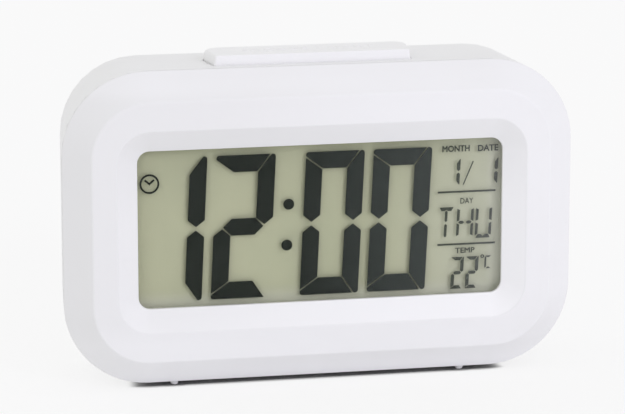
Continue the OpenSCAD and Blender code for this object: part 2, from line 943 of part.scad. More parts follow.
module lcd_holder() {
    in_w = glass_w + 2 * glass_gap;
    in_h = glass_top - glass_low + 2 * glass_gap;
    mid = (glass_top + glass_low) / 2;
    color("whitesmoke") face() difference() {
        union() {
            translate([0, mid, 0])
                block(in_w + 2 * holder_wall, in_h + 2 * holder_wall, holder_front, holder_back);
            for (x = [-1, 1])
                translate([x * board_screw_x, (board_screw_low + board_screw_top) / 2, 0])
                    block(ear_w, board_screw_top - board_screw_low + ear_w, ear_front, holder_back);
        }
        translate([0, mid, 0])
            block(in_w, in_h, holder_front - cut, holder_back + cut);
        for (x = [-1, 1], y = [board_screw_low, board_screw_top])
            translate([x * board_screw_x, y, 0])
                rod(board_screw_d / 2 + fit, ear_front - cut, holder_back + cut);
    }
}

module contact_strip() {
    color("dimgray") face()
        translate([0, glass_low + ledge_h / 2, 0])
            block(glass_w - 2 * strip_inset, ledge_h - 2 * strip_gap, figure_front, board_front);
}

module main_board() {
    color("darkgreen") face() difference() {
        translate([0, (board_low + board_top) / 2, 0])
            block(board_w, board_top - board_low, board_front, board_back);
        for (x = [-1, 1], y = [board_screw_low, board_screw_top])
            translate([x * board_screw_x, y, 0])
                rod(board_screw_d / 2 + fit, board_front - cut, board_back + cut);
        for (x = [-snooze_tab_x, snooze_tab_x])
            translate([x, snooze_board_top - board_t / 2 - face_z, 0])
                block(snooze_tab_w + 2 * tab_fit, board_t + 2 * tab_fit, board_front - cut, board_back + cut);
    }
}

module chip_resin() {
    ball = (chip_r ^ 2 + chip_rise ^ 2) / (2 * chip_rise);
    color("black") face()
        translate([chip_at[0], chip_at[1], -board_back + ball - chip_rise])
            intersection() {
                sphere(ball, $fn = 240);
                rod(chip_r + cut, ball - chip_rise, ball + cut);
            }
}

module quartz_crystal() {
    color("silver") face()
        translate([crystal_at[0], crystal_at[1], -board_back - crystal_r])
            rotate([90, 0, 0])
                cylinder(r = crystal_r, h = crystal_l, center = true);
}

module capacitor() {
    color("midnightblue") face()
        translate(capacitor_at)
            rod(capacitor_r, board_back, board_back + capacitor_h);
}

module thermistor() {
    color("sienna") face()
        translate([vent_x, box_mid, 0]) {
            translate([0, 0, -board_back - lead_l])
                sphere(bead_r);
            for (x = [-lead_gap / 2, lead_gap / 2])
                translate([x, 0, 0])
                    rod(lead_r, board_back, board_back + lead_l);
        }
}

// Push switch that points along +z of its own frame, with the bore for its plunger
module push_switch() {
    difference() {
        translate([-switch_w / 2, -switch_w / 2, 0])
            cube([switch_w, switch_w, switch_h]);
        translate([0, 0, switch_h - plunger_in - plunger_room])
            cylinder(r = plunger_d / 2 + plunger_gap, h = switch_h);
    }
}

module plunger() {
    translate([0, 0, switch_h - plunger_in])
        cylinder(r = plunger_d / 2, h = plunger_h + plunger_in);
}

module on_board_back(x, y) {
    face()
        translate([x, y, -board_back])
            rotate([180, 0, 0])
                children();
}

module key_switches() {
    color("dimgray") for (x = key_x)
        on_board_back(x, key_row)
            push_switch();
}

module key_plunger(i) {
    color("ivory") on_board_back(key_x[i], key_row)
        plunger();
}

module key(i) {
    color("gainsboro") face() translate([key_x[i], key_row, 0]) {
        round_block(key_w, key_h, key_r, key_flange_back - weld, key_top);
        round_block(key_w + 2 * key_flange, key_h + 2 * key_flange, key_r,
            key_flange_front, key_flange_back);
        rod(key_stem_r, plunger_top, key_flange_front + weld);
    }
}

module alarm_switch() {
    slot_l = actuator_w + knob_travel + 4 * slot_gap;
    slot_w = actuator_w + 2 * slot_gap;
    color("silver") on_board_back(0, key_row)
        difference() {
            translate([-slide_body_w / 2, -slide_body_h / 2, 0])
                cube([slide_body_w, slide_body_h, slide_body_t]);
            translate([-slot_l / 2, -slot_w / 2, slide_body_t - actuator_in - slot_gap])
                cube([slot_l, slot_w, slide_body_t]);
        }
}

module alarm_actuator() {
    color("black") face() translate([knob_rest, key_row, 0])
        block(actuator_w, actuator_w, slide_top - actuator_in, slide_top + actuator_l);
}

module alarm_knob() {
    fork_in = actuator_w + 2 * fork_gap;
    fork_out = fork_in + 2 * fork_w;
    color("dimgray") face() translate([knob_rest, key_row, 0]) {
        difference() {
            block(knob_w, knob_h, key_flange_back - weld, key_top);
            for (x = [-1:1])
                translate([x * knob_groove_pitch, 0, 0])
                    block(knob_groove_w, knob_h + cut, key_top - knob_groove_d, key_top + cut);
        }
        block(knob_flange_w, knob_flange_h, key_flange_front, key_flange_back);
        block(fork_out, knob_h, slide_top + actuator_l, key_flange_front + weld);
        for (x = [-1, 1])
            translate([x * (fork_in + fork_w) / 2, 0, 0])
                block(fork_w, knob_h, slide_top + fork_end_gap, slide_top + actuator_l + weld);
    }
}

module snooze_board() {
    color("darkgreen") {
        translate([-snooze_board_w / 2, board_back - case_d / 2, snooze_board_top - board_t])
            cube([snooze_board_w, snooze_board_back - board_back, board_t]);
        for (x = [-snooze_tab_x, snooze_tab_x])
            translate([x - snooze_tab_w / 2, board_front - case_d / 2, snooze_board_top - board_t])
                cube([snooze_tab_w, board_t + weld, board_t]);
    }
}

module on_snooze_board() {
    translate([0, bar_mid_d - case_d / 2, snooze_board_top])
        children();
}

module snooze_switch() {
    color("dimgray") on_snooze_board()
        push_switch();
}

module snooze_plunger() {
    color("ivory") on_snooze_board()
        plunger();
}

module sounder_plate() {
    color("goldenrod") face() translate([sounder_x, sounder_y, 0])
        rod(sounder_d / 2, sounder_back - sounder_t, sounder_back);
}

module sounder_ceramic() {
    color("ivory") face() translate([sounder_x, sounder_y, 0])
        rod(ceramic_r, sounder_back - sounder_t - ceramic_t, sounder_back - sounder_t);
}

module sounder_springs() {
    rim_x = -(ceramic_r + sounder_d / 2) / 2;
    ends = [[0, sounder_back - sounder_t - ceramic_t], [rim_x, sounder_back - sounder_t]];
    color("gold") face() translate([sounder_x, sounder_y, 0])
        for (e = ends)
            translate([e[0], 0, 0])
                difference() {
                    rod(contact_spring_r, board_back, e[1]);
                    rod(contact_spring_r - wire_r, board_back - cut, e[1] + cut);
                }
}

// A cell lies along x; its nub points to the right, or to the left when turned
module cell(y, turned) {
    body_l = cell_l - nub_l;
    nub_end = box_in_w / 2 - contact_t - bump_h;
    color("darkorange") face()
        translate([0, y, -cell_depth])
            mirror([turned ? 1 : 0, 0, 0])
                rotate([0, 90, 0]) {
                    translate([0, 0, nub_end - cell_l])
                        cylinder(r = cell_d / 2, h = body_l);
                    translate([0, 0, nub_end - nub_l - weld])
                        cylinder(r = nub_r, h = nub_l + weld);
                }
}

// Contact plate against an end wall of the compartment; side is -1 for the left wall and 1 for the right
module contact_plate(side, y, h) {
    translate([side * (box_in_w - contact_t) / 2, y, 0])
        block(contact_t, h, cell_depth - cell_d / 2, cell_depth + cell_d / 2 - contact_trim);
}

module contact_bump(side, y) {
    translate([side * (box_in_w / 2 - contact_t + weld / 2), y, -cell_depth])
        rotate([0, -side * 90, 0])
            cylinder(r1 = nub_r + bump_flare, r2 = nub_r, h = bump_h + weld / 2);
}

module contact_leg(y) {
    translate([-(box_in_w - contact_t) / 2, y, 0])
        block(contact_t, leg_w, board_back, cell_depth);
}

// Points of a conical spring along z, from its wide end to its narrow end
function spring_point(t) =
    let (a = 360 * spring_turns * t, r = spring_r0 + (spring_r1 - spring_r0) * t)
    [r * cos(a), r * sin(a), wire_r + (spring_l - 2 * wire_r) * t];
function spring_ring(t) =
    let (a = 360 * spring_turns * t, p = spring_point(t))
    [for (i = [0:spring_sides - 1])
        let (b = 360 * i / spring_sides)
        p + wire_r * [cos(b) * cos(a), cos(b) * sin(a), sin(b)]];

module conical_spring() {
    rings = spring_turns * spring_steps;
    n = spring_sides;
    points = [for (k = [0:rings]) each spring_ring(k / rings)];
    sides = [for (k = [0:rings - 1], i = [0:n - 1])
        let (a = k * n + i, b = k * n + (i + 1) % n)
        each [[a, a + n, b], [b, a + n, b + n]]];
    ends = [for (i = [1:n - 2]) each [[0, i, i + 1], [rings * n, rings * n + i + 1, rings * n + i]]];
    polyhedron(points, concat(sides, ends));
}

// Clear gap between neighbouring turns of the spring
spring_pitch = (spring_l - 2 * wire_r) / spring_turns;
spring_step_in = (spring_r0 - spring_r1) / spring_turns;
echo(spring_self_gap = sqrt(spring_pitch ^ 2 + spring_step_in ^ 2) - 2 * wire_r);

module contact_spring(side, y) {
    color("silver") face()
        translate([side * (box_in_w / 2 - contact_t), y, -cell_depth])
            rotate([0, -side * 90, 0])
                conical_spring();
}

module negative_contact() {
    color("silver") face() {
        contact_plate(-1, cell_y[0], cell_d - contact_trim);
        contact_leg(cell_y[0]);
    }
}

module positive_contact() {
    color("silver") face() {
        contact_plate(-1, cell_y[1], cell_d - contact_trim);
        contact_leg(cell_y[1]);
        contact_bump(-1, cell_y[1]);
    }
}

module bridge_contact() {
    color("silver") face() {
        contact_plate(1, box_mid, box_in_h - contact_trim);
        contact_bump(1, cell_y[0]);
    }
}

front_shell();
rear_shell();
battery_door();
case_screws();
snooze_bar();
lcd_polariser();
lcd_front_glass();
lcd_figures();
lcd_rear_glass();
lcd_reflector();
light_guide();
backlight_lamps();
lcd_holder();
contact_strip();
main_board();
board_screws();
chip_resin();
quartz_crystal();
capacitor();
thermistor();
key_switches();
key_plunger(0);  // mode_plunger
key_plunger(1);  // set_plunger
key_plunger(2);  // up_plunger
key_plunger(3);  // down_plunger
key(0);  // mode_key
key(1);  // set_key
key(2);  // up_key
key(3);  // down_key
alarm_switch();
alarm_actuator();
alarm_knob();
snooze_board();
snooze_switch();
snooze_plunger();
sounder_plate();
sounder_ceramic();
sounder_springs();
cell(cell_y[0], false);  // cell_upper
cell(cell_y[1], true);  // cell_lower
negative_contact();
contact_spring(-1, cell_y[0]);  // negative_spring
positive_contact();
bridge_contact();
contact_spring(1, cell_y[1]);  // bridge_spring
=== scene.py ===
import math

import bmesh
import bpy
from mathutils import Matrix, Vector


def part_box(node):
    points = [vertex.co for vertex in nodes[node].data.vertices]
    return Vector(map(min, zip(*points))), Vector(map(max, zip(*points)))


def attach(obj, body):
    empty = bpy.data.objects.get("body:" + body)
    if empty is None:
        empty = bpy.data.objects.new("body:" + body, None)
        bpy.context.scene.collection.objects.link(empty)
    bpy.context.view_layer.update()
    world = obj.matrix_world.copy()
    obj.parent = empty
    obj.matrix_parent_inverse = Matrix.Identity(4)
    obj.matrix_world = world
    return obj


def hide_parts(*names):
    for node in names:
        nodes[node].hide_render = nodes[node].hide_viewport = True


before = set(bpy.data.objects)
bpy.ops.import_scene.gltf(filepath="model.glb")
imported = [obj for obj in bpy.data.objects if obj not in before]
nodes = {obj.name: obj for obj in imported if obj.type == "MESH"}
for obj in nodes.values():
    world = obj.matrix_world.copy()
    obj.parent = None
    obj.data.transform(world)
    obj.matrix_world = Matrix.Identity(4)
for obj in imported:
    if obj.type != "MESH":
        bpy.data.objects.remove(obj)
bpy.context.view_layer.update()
scene = bpy.context.scene
mm = 0.001
print("frame loaded:", len(nodes), "nodes")

# Case sizes in millimetres; depth counts back from the front face
case = {
    "width": 135.0,
    "height": 82.7,
    "depth": 36.0,
    "cornerRadius": 22.0,
    "faceHeight": 42.65,  # middle of the face above the table
    "wall": 2.0,
    "top": 84.0,
}


def atFace(x, y, depth):  # face millimetres into the shared frame
    return Vector((x, depth - case["depth"] / 2, case["faceHeight"] + y)) * mm


class Wire:  # a node socket that can be used in sums
    def __init__(self, tree, socket):
        self.tree = tree
        self.socket = socket

    def node(self, kind, settings=None, sockets=None, out=0):
        made = self.tree.nodes.new(kind)
        for key, value in (settings or {}).items():
            setattr(made, key, value)
        for key, value in (sockets or {}).items():
            for one in value if isinstance(value, list) else [value]:
                if isinstance(one, Wire):
                    self.tree.links.new(one.socket, made.inputs[key])
                else:
                    made.inputs[key].default_value = one
        return Wire(self.tree, made.outputs[out])

    def maths(self, operation, first, second=0.0):
        return self.node("ShaderNodeMath", {"operation": operation}, {0: first, 1: second})

    def __add__(self, other):
        return self.maths("ADD", self, other)

    __radd__ = __add__

    def __sub__(self, other):
        return self.maths("SUBTRACT", self, other)

    def __rsub__(self, other):
        return self.maths("SUBTRACT", other, self)

    def __mul__(self, other):
        return self.maths("MULTIPLY", self, other)

    __rmul__ = __mul__

    def __truediv__(self, other):
        return self.maths("DIVIDE", self, other)

    def __gt__(self, other):
        return self.maths("GREATER_THAN", self, other)

    def __lt__(self, other):
        return self.maths("LESS_THAN", self, other)

    def __abs__(self):
        return self.maths("ABSOLUTE", self)

    def mix(self, low, high):  # blends two colours by this value
        ends = [end if isinstance(end, Wire) else (*end, 1.0) for end in (low, high)]
        return self.node("ShaderNodeMix", {"data_type": "RGBA"}, {0: self, 6: ends[0], 7: ends[1]}, 2)

    def noise(self, scale, detail=2.0):  # this is the place the pattern is read at
        return self.node("ShaderNodeTexNoise", None, {"Vector": self, "Scale": scale, "Detail": detail})

    def smooth(self, low, high):  # 0 below low, 1 above high
        return self.node("ShaderNodeMapRange", {"interpolation_type": "SMOOTHSTEP"},
                         {"Value": self, "From Min": low, "From Max": high})

    def axis(self, name):
        return self.node("ShaderNodeSeparateXYZ", None, {0: self}, "XYZ".index(name))

    def vector(self, **parts):  # vector(Z=height)
        return self.node("ShaderNodeCombineXYZ", None, parts)


def newFinish(name, fixed=None):  # a material, its shader and the place on the piece
    finish = bpy.data.materials.new(name)
    finish.use_nodes = True
    tree = finish.node_tree
    shader = tree.nodes["Principled BSDF"]
    for key, value in (fixed or {}).items():
        shader.inputs[key].default_value = value
    place = Wire(tree, tree.nodes.new("ShaderNodeTexCoord").outputs["Object"])
    return finish, shader, place


def feed(shader, **wires):  # baseColor=wire goes to "Base Color"
    names = {"baseColor": "Base Color", "roughness": "Roughness", "metallic": "Metallic", "alpha": "Alpha",
             "normal": "Normal", "emission": "Emission Color"}
    for key, wire in wires.items():
        wire.tree.links.new(wire.socket, shader.inputs[names[key]])


def bumped(height, strength, distance):
    return height.node("ShaderNodeBump", None,
                       {"Strength": strength, "Distance": distance, "Height": height})


# Plain moulded and metal finishes: two tints, roughness span, grain in 1/m, relief, and metal or not
plainFinishes = {
    "keyGrey": ((0.60, 0.60, 0.62), (0.66, 0.66, 0.68), (0.42, 0.56), 2600, 0.10, 0),
    "legendGrey": ((0.19, 0.19, 0.20), (0.24, 0.24, 0.25), (0.50, 0.62), 1900, 0.05, 0),
    "knobGraphite": ((0.045, 0.047, 0.052), (0.065, 0.067, 0.072), (0.45, 0.60), 3000, 0.16, 0),
    "holderNylon": ((0.74, 0.74, 0.71), (0.80, 0.80, 0.77), (0.50, 0.65), 1800, 0.10, 0),
    "guideAcrylic": ((0.80, 0.84, 0.83), (0.88, 0.91, 0.90), (0.12, 0.22), 500, 0.03, 0),
    "lampResin": ((0.83, 0.76, 0.50), (0.90, 0.85, 0.62), (0.22, 0.34), 900, 0.04, 0),
    "chipResin": ((0.012, 0.012, 0.013), (0.022, 0.021, 0.021), (0.16, 0.34), 420, 0.20, 0),
    "thermistorCoat": ((0.16, 0.062, 0.026), (0.23, 0.095, 0.042), (0.32, 0.48), 1200, 0.12, 0),
    "switchPlastic": ((0.035, 0.036, 0.038), (0.050, 0.051, 0.054), (0.42, 0.56), 2400, 0.10, 0),
    "plungerIvory": ((0.70, 0.66, 0.55), (0.78, 0.74, 0.63), (0.36, 0.50), 2000, 0.06, 0),
    "sounderCeramic": ((0.70, 0.69, 0.64), (0.78, 0.77, 0.73), (0.50, 0.66), 1500, 0.12, 0),
    "screwSteel": ((0.42, 0.42, 0.43), (0.60, 0.60, 0.61), (0.26, 0.46), 1400, 0.10, 1),
    "contactNickel": ((0.55, 0.53, 0.49), (0.70, 0.68, 0.64), (0.20, 0.38), 900, 0.06, 1),
    "sounderBrass": ((0.62, 0.43, 0.16), (0.74, 0.55, 0.24), (0.22, 0.42), 700, 0.06, 1),
    "springGold": ((0.64, 0.47, 0.19), (0.76, 0.60, 0.30), (0.24, 0.38), 1500, 0.05, 1),
}


def plainFinish(name, low, high, rough, grainScale, relief, metal):
    finish, shader, place = newFinish(name, {"Metallic": float(metal)})
    patchScale = grainScale / 14  # cloudy patches, far wider than the grain
    grain = place.noise(grainScale)
    tone = (place.noise(patchScale, 3.0) * 0.7 + grain * 0.3).smooth(0.3, 0.7)
    feed(shader, baseColor=tone.mix(low, high), roughness=rough[0] + (rough[1] - rough[0]) * grain,
         normal=bumped(grain, relief, 0.0002))
    return finish


finishes = {name: plainFinish(name, *spec) for name, spec in plainFinishes.items()}


def mouldedWhite(name, clean, worn):  # satin white with a fine eroded grain and a breath of handling marks; painted light on the window slope and lower edge, painted shade down the left side
    look = {"grain": 2300, "relief": 0.09, "patches": 26, "smear": (30.0, 30.0, 140.0),
            "marks": (0.42, 0.75)}
    paintedLight = {"tint": (0.94, 0.94, 0.945), "left": 0.38, "halfWidth": 54.5 * mm, "halfHeight": 27.0 * mm,
             "depth": (0.02 * mm, 0.25 * mm), "fade": (42.0 * mm, 66.0 * mm),
             "side": (-62.0 * mm, 36.0 * mm), "low": (1.0 * mm, 9.0 * mm)}  # painted light on the window slope and lower edge, fading towards the left
    paintedShade = {"tint": (0.838, 0.838, 0.838), "side": (-40.0 * mm, 30.0 * mm),
            "low": (12.0 * mm, 20.0 * mm), "high": (76.0 * mm, 80.0 * mm)}  # painted shade down the left side, between a low and a high height
    seam = -11.4 * mm  # the front shell ends here
    finish, shader, place = newFinish(name, {"Specular IOR Level": 0.35})
    grain = place.noise(look["grain"])
    drawn = place.node("ShaderNodeMapping", None, {"Vector": place, "Scale": look["smear"]})
    marks = place.noise(look["patches"], 4.0) * 0.65 + drawn.noise(1.0, 3.0) * 0.35
    handled = marks.smooth(*look["marks"])
    x, y, z = (place.axis(axis) for axis in "XYZ")
    front = y < seam
    right = paintedLight["left"] + (1 - paintedLight["left"]) * x.smooth(*paintedLight["side"])
    depth = y + case["depth"] / 2 * mm
    # painted light: the window slope and the lower edge are lightened, more to the right
    slope = (abs(x) < paintedLight["halfWidth"]) * (abs(z - case["faceHeight"] * mm) < paintedLight["halfHeight"])
    slope = slope * depth.smooth(*paintedLight["depth"]) * (1 - z.smooth(*paintedLight["fade"])) * right
    lower = (1 - z.smooth(*paintedLight["low"])) * right
    # painted shade: the front is darkened down its left side
    shadedLeft = (1 - x.smooth(*paintedShade["side"])) * z.smooth(*paintedShade["low"]) * (1 - z.smooth(*paintedShade["high"])) * front
    colour = shadedLeft.mix(handled.mix(clean, worn), paintedShade["tint"])
    feed(shader, baseColor=(place.maths("MAXIMUM", slope, lower) * front).mix(colour, paintedLight["tint"]),
         roughness=0.40 + 0.10 * handled + 0.07 * grain, normal=bumped(grain, look["relief"], 0.00012))
    return finish


def reflectorOlive():  # grey-green back film, with painted shade along the top and painted light to the right and at its far edges
    look = {"cool": (0.458, 0.476, 0.320), "warm": (0.494, 0.504, 0.339), "right": (0.550, 0.564, 0.447),
            "high": (0.425, 0.440, 0.298), "edge": (0.66, 0.67, 0.575), "speck": 3200, "patches": 34}
    span = {"left": (-0.054, -0.036), "right": (0.010, 0.050), "high": (0.042, 0.066),
            "side": (0.0435, 0.050), "low": (0.022, 0.026)}
    share = {"right": 0.8, "high": 0.8, "low": 0.45}
    finish, shader, place = newFinish("reflectorOlive", {"Specular IOR Level": 0.15})
    speck = place.noise(look["speck"], 1.0)
    tone = (place.noise(look["patches"], 3.0) * 0.75 + speck * 0.25).smooth(0.32, 0.68)
    x, z = place.axis("X"), place.axis("Z")
    # painted light towards the right
    right = x.smooth(*span["right"]) * share["right"]
    # painted shade along the top, fading out at the far left
    high = z.smooth(*span["high"]) * (1 - right) * x.smooth(*span["left"]) * share["high"]
    # painted light along the right and lower edges, where the window shades the film
    edge = place.maths("MAXIMUM", x.smooth(*span["side"]), (1 - z.smooth(*span["low"])) * share["low"])
    graded = right.mix(tone.mix(look["cool"], look["warm"]), look["right"])
    graded = edge.mix(high.mix(graded, look["high"]), look["edge"])
    feed(shader, baseColor=graded, roughness=0.6 + 0.2 * speck, normal=bumped(speck, 0.06, 0.0001))
    return finish


def figureInk():  # switched-on figures with a painted sheen: a little paler towards the right and palest in the small column at the right
    look = {"strong": (0.005, 0.008, 0.004), "pale": (0.052, 0.060, 0.056), "patches": 120,
            "columnLeft": (0.064, 0.073, 0.056), "columnRight": (0.105, 0.111, 0.104), "columnShare": 0.9}
    span = {"pale": (-0.015, 0.046), "column": (0.0305, 0.0325), "side": (0.034, 0.047)}
    finish, shader, place = newFinish("figureInk", {"Specular IOR Level": 0.1})
    patch = place.noise(look["patches"])
    x = place.axis("X")
    # painted sheen: the ink pales towards the right
    tone = x.smooth(*span["pale"]) * 0.8 + patch * 0.2
    large = tone.mix(look["strong"], look["pale"])
    small = x.smooth(*span["side"]).mix(look["columnLeft"], look["columnRight"])
    column = x.smooth(*span["column"]) * look["columnShare"]
    feed(shader, baseColor=column.mix(large, small), roughness=0.45 + 0.2 * patch)
    return finish


def clearSheet(name, tint, share, rough):  # glass or film that shows what lies behind it
    finish, shader, place = newFinish(name, {"Base Color": (*tint, 1), "Specular IOR Level": 0.5})
    haze = place.noise(45, 3.0)
    feed(shader, alpha=share * (0.85 + 0.3 * haze), roughness=rough * (0.7 + 0.6 * haze))
    return finish


def boardGreen():  # solder mask over copper tracks, with tinned pads
    look = {"mask": (0.020, 0.115, 0.045), "track": (0.035, 0.19, 0.075), "pad": (0.62, 0.60, 0.56),
            "lanes": 110.0, "pads": 210.0, "padSize": 0.17}
    finish, shader, place = newFinish("boardGreen")
    flat = place.node("ShaderNodeMapping", None, {"Vector": place, "Rotation": (math.pi / 2, 0, 0)})
    lanes = flat.node("ShaderNodeTexBrick", {"offset": 0.37, "squash": 0.6}, {
        "Vector": flat, "Scale": look["lanes"], "Mortar Size": 0.06, "Mortar Smooth": 0.1}, "Fac")
    spots = place.node("ShaderNodeTexVoronoi", None,
                       {"Vector": place, "Scale": look["pads"], "Randomness": 0.6})
    pads = spots < look["padSize"]
    mask = lanes.mix(look["mask"], look["track"])
    feed(shader, baseColor=pads.mix(mask, look["pad"]), metallic=pads * 0.9,
         roughness=0.34 + 0.14 * place.noise(900), normal=bumped(lanes, 0.25, 0.00006))
    return finish


def stripRubber():  # contact strip: thin dark layers between pale ones
    look = {"pale": (0.42, 0.40, 0.36), "dark": (0.02, 0.02, 0.022), "layers": 2600.0, "paleShare": 0.45}
    finish, shader, place = newFinish("stripRubber")
    layers = place.maths("FRACT", place.axis("X") * look["layers"]) > look["paleShare"]
    feed(shader, baseColor=layers.mix(look["pale"], look["dark"]),
         roughness=0.6 + 0.2 * place.noise(1600), normal=bumped(layers, 0.1, 0.0001))
    return finish


def cellJacket(name, flatEnd, direction):  # printed sleeve in two plain fields, with bare metal at the ends
    look = {"field": (0.055, 0.17, 0.30), "band": (0.50, 0.52, 0.54), "steel": (0.62, 0.62, 0.61),
            "bandMiddle": 0.0335, "bandHalf": 0.005, "sleeveMiddle": 0.0219, "sleeveHalf": 0.0213,
            "scuffs": (0.60, 0.85), "scuffShare": 0.5}
    finish, shader, place = newFinish(name)
    along = (place.axis("X") - flatEnd) * direction
    scuff = place.noise(240, 4.0)
    band = abs(along - look["bandMiddle"]) < look["bandHalf"]
    bare = abs(along - look["sleeveMiddle"]) > look["sleeveHalf"]
    sleeve = band.mix(look["field"], look["band"])
    worn = (scuff.smooth(*look["scuffs"]) * look["scuffShare"]).mix(sleeve, look["steel"])
    feed(shader, baseColor=bare.mix(worn, look["steel"]), metallic=bare * 0.95,
         roughness=0.28 + 0.2 * scuff, normal=bumped(scuff, 0.06, 0.0001))
    return finish


def capacitorSleeve():  # dark shrink sleeve with a pale stripe down one side and a bare top
    look = {"sleeve": (0.012, 0.016, 0.05), "stripe": (0.55, 0.57, 0.6), "top": (0.62, 0.62, 0.61),
            "stripeAt": 0.0043, "topSkin": 0.00005}
    finish, shader, place = newFinish("capacitorSleeve")
    grain = place.noise(1500)
    low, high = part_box("capacitor")
    stripe = place.axis("X") > low[0] + look["stripeAt"]
    top = place.axis("Y") > high[1] - look["topSkin"]
    sleeve = stripe.mix(look["sleeve"], look["stripe"])
    feed(shader, baseColor=top.mix(sleeve, look["top"]), metallic=top * 0.95,
         roughness=0.25 + 0.2 * grain, normal=bumped(grain, 0.05, 0.0001))
    return finish


finishes["caseWhite"] = mouldedWhite("caseWhite", (0.873, 0.873, 0.876), (0.846, 0.845, 0.845))
# painted light: the bar has the case white made lighter
finishes["barWhite"] = mouldedWhite("barWhite", (0.910, 0.910, 0.913), (0.884, 0.883, 0.883))
finishes["reflectorOlive"] = reflectorOlive()
finishes["figureInk"] = figureInk()
finishes["polariserFilm"] = clearSheet("polariserFilm", (0.34, 0.36, 0.32), 0.011, 0.5)
finishes["displayGlass"] = clearSheet("displayGlass", (0.45, 0.52, 0.46), 0.005, 0.08)
finishes["boardGreen"] = boardGreen()
finishes["stripRubber"] = stripRubber()
finishes["capacitorSleeve"] = capacitorSleeve()
print("finishes made:", len(finishes))


def dress(obj, finishName):
    obj.data.materials.clear()
    obj.data.materials.append(finishes[finishName])


nodeFinish = {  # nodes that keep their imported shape
    "polariserFilm": ["lcd_polariser"], "displayGlass": ["lcd_front_glass", "lcd_rear_glass"],
    "reflectorOlive": ["lcd_reflector"], "guideAcrylic": ["light_guide"], "lampResin": ["backlight_lamps"],
    "holderNylon": ["lcd_holder"], "stripRubber": ["contact_strip"], "chipResin": ["chip_resin"],
    "boardGreen": ["main_board", "snooze_board"], "capacitorSleeve": ["capacitor"],
    "thermistorCoat": ["thermistor"], "switchPlastic": ["key_switches", "snooze_switch", "alarm_actuator"],
    "plungerIvory": ["mode_plunger", "set_plunger", "up_plunger", "down_plunger", "snooze_plunger"],
    "sounderBrass": ["sounder_plate"], "sounderCeramic": ["sounder_ceramic"],
    "contactNickel": ["quartz_crystal", "alarm_switch", "negative_contact", "positive_contact",
                      "bridge_contact"],
}
for finishName, nodeNames in nodeFinish.items():
    for nodeName in nodeNames:
        dress(nodes[nodeName], finishName)
print("inner pieces dressed in", len(nodeFinish), "finishes")


def addPiece(name, mesh, finishName, body, standsFor=None):
    piece = bpy.data.objects.new(name, mesh)
    scene.collection.objects.link(piece)
    dress(piece, finishName)
    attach(piece, body)
    if standsFor:
        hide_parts(standsFor)


def plainMesh(holder):  # the evaluated object as a mesh of its own; the holder goes
    graph = bpy.context.evaluated_depsgraph_get()
    mesh = bpy.data.meshes.new_from_object(holder.evaluated_get(graph), depsgraph=graph)
    mesh.name = holder.name
    bpy.data.objects.remove(holder)
    return mesh


def newHolder(name, data):
    holder = bpy.data.objects.new(name, data)
    scene.collection.objects.link(holder)
    return holder


def settled(name, mesh, kind, values):  # runs one modifier on a mesh
    holder = newHolder(name, mesh)
    modifier = holder.modifiers.new(kind, kind)
    for key, value in values.items():
        setattr(modifier, key, value)
    return plainMesh(holder)


def shaded(name, build, angle):  # closes a bmesh into a mesh with smooth rounds and flat flats
    bmesh.ops.recalc_face_normals(build, faces=build.faces)
    for face in build.faces:
        face.smooth = True
    for edge in build.edges:
        if len(edge.link_faces) == 2:
            edge.smooth = edge.calc_face_angle(0.0) < math.radians(angle)
    mesh = bpy.data.meshes.new(name)
    build.to_mesh(mesh)
    build.free()
    return settled(name, mesh, "WEIGHTED_NORMAL", {"weight": 50, "keep_sharp": True})


def joined(meshes):  # several meshes in one bmesh
    build = bmesh.new()
    for mesh in meshes:
        build.from_mesh(mesh)
    return build


def placing(origin, right, up):  # turns what was made flat at the origin into its place
    right, up = Vector(right), Vector(up)
    turn = Matrix((right, up, right.cross(up))).transposed().to_4x4()
    return Matrix.Translation(origin) @ turn


fullRound = 0.999  # a corner radius of this share of the half width makes a circle


def roundedOutline(halfWidth, halfHeight, radius, steps):
    points = []
    for sx, sy, start in ((1, 1, 0), (-1, 1, 90), (-1, -1, 180), (1, -1, 270)):
        for k in range(steps + 1):
            a = math.radians(start + 90 * k / steps)
            points.append((sx * (halfWidth - radius) + radius * math.cos(a),
                           sy * (halfHeight - radius) + radius * math.sin(a)))
    return points


def roundedPath(points, steps=6):  # (u, v, radius) corners into a path with true rounds
    path = []
    for i, (u, v, radius) in enumerate(points):
        here = Vector((u, v))
        if radius == 0 or i in (0, len(points) - 1):
            path.append(here)
            continue
        before = (Vector(points[i - 1][:2]) - here).normalized()
        after = (Vector(points[i + 1][:2]) - here).normalized()
        half = before.angle(after) / 2
        reach = radius / math.tan(half)
        centre = here + (before + after).normalized() * (radius / math.sin(half))
        first = here + before * reach - centre
        sweep = first.angle_signed(here + after * reach - centre)
        for k in range(steps + 1):
            path.append(centre + Matrix.Rotation(-sweep * k / steps, 2) @ first)
    return path


def loft(build, rings, closed=False):  # joins rings of equal count; open lofts get flat ends
    made = [[build.verts.new(p) for p in ring] for ring in rings]
    pairs = list(zip(made, made[1:] + made[:1])) if closed else list(zip(made, made[1:]))
    count = len(made[0])
    for low, high in pairs:
        for k in range(count):
            build.faces.new((low[k], low[(k + 1) % count], high[(k + 1) % count], high[k]))
    if not closed:
        build.faces.new(made[0][::-1])
        build.faces.new(made[-1])


def faceRing(halfWidth, halfHeight, radius, depth, steps=14, x=0.0, y=0.0):
    return [atFace(x + u, y + v, depth) for u, v in roundedOutline(halfWidth, halfHeight, radius, steps)]


def circleRing(radius, depth, x, y, steps=6):
    return faceRing(radius, radius, radius * fullRound, depth, steps, x, y)


def tube(build, x, y, outer, inner, start, end):  # a hollow boss along the depth
    sizes = ((outer, start), (outer, end), (inner, end), (inner, start))
    loft(build, [circleRing(r, d, x, y) for r, d in sizes], closed=True)


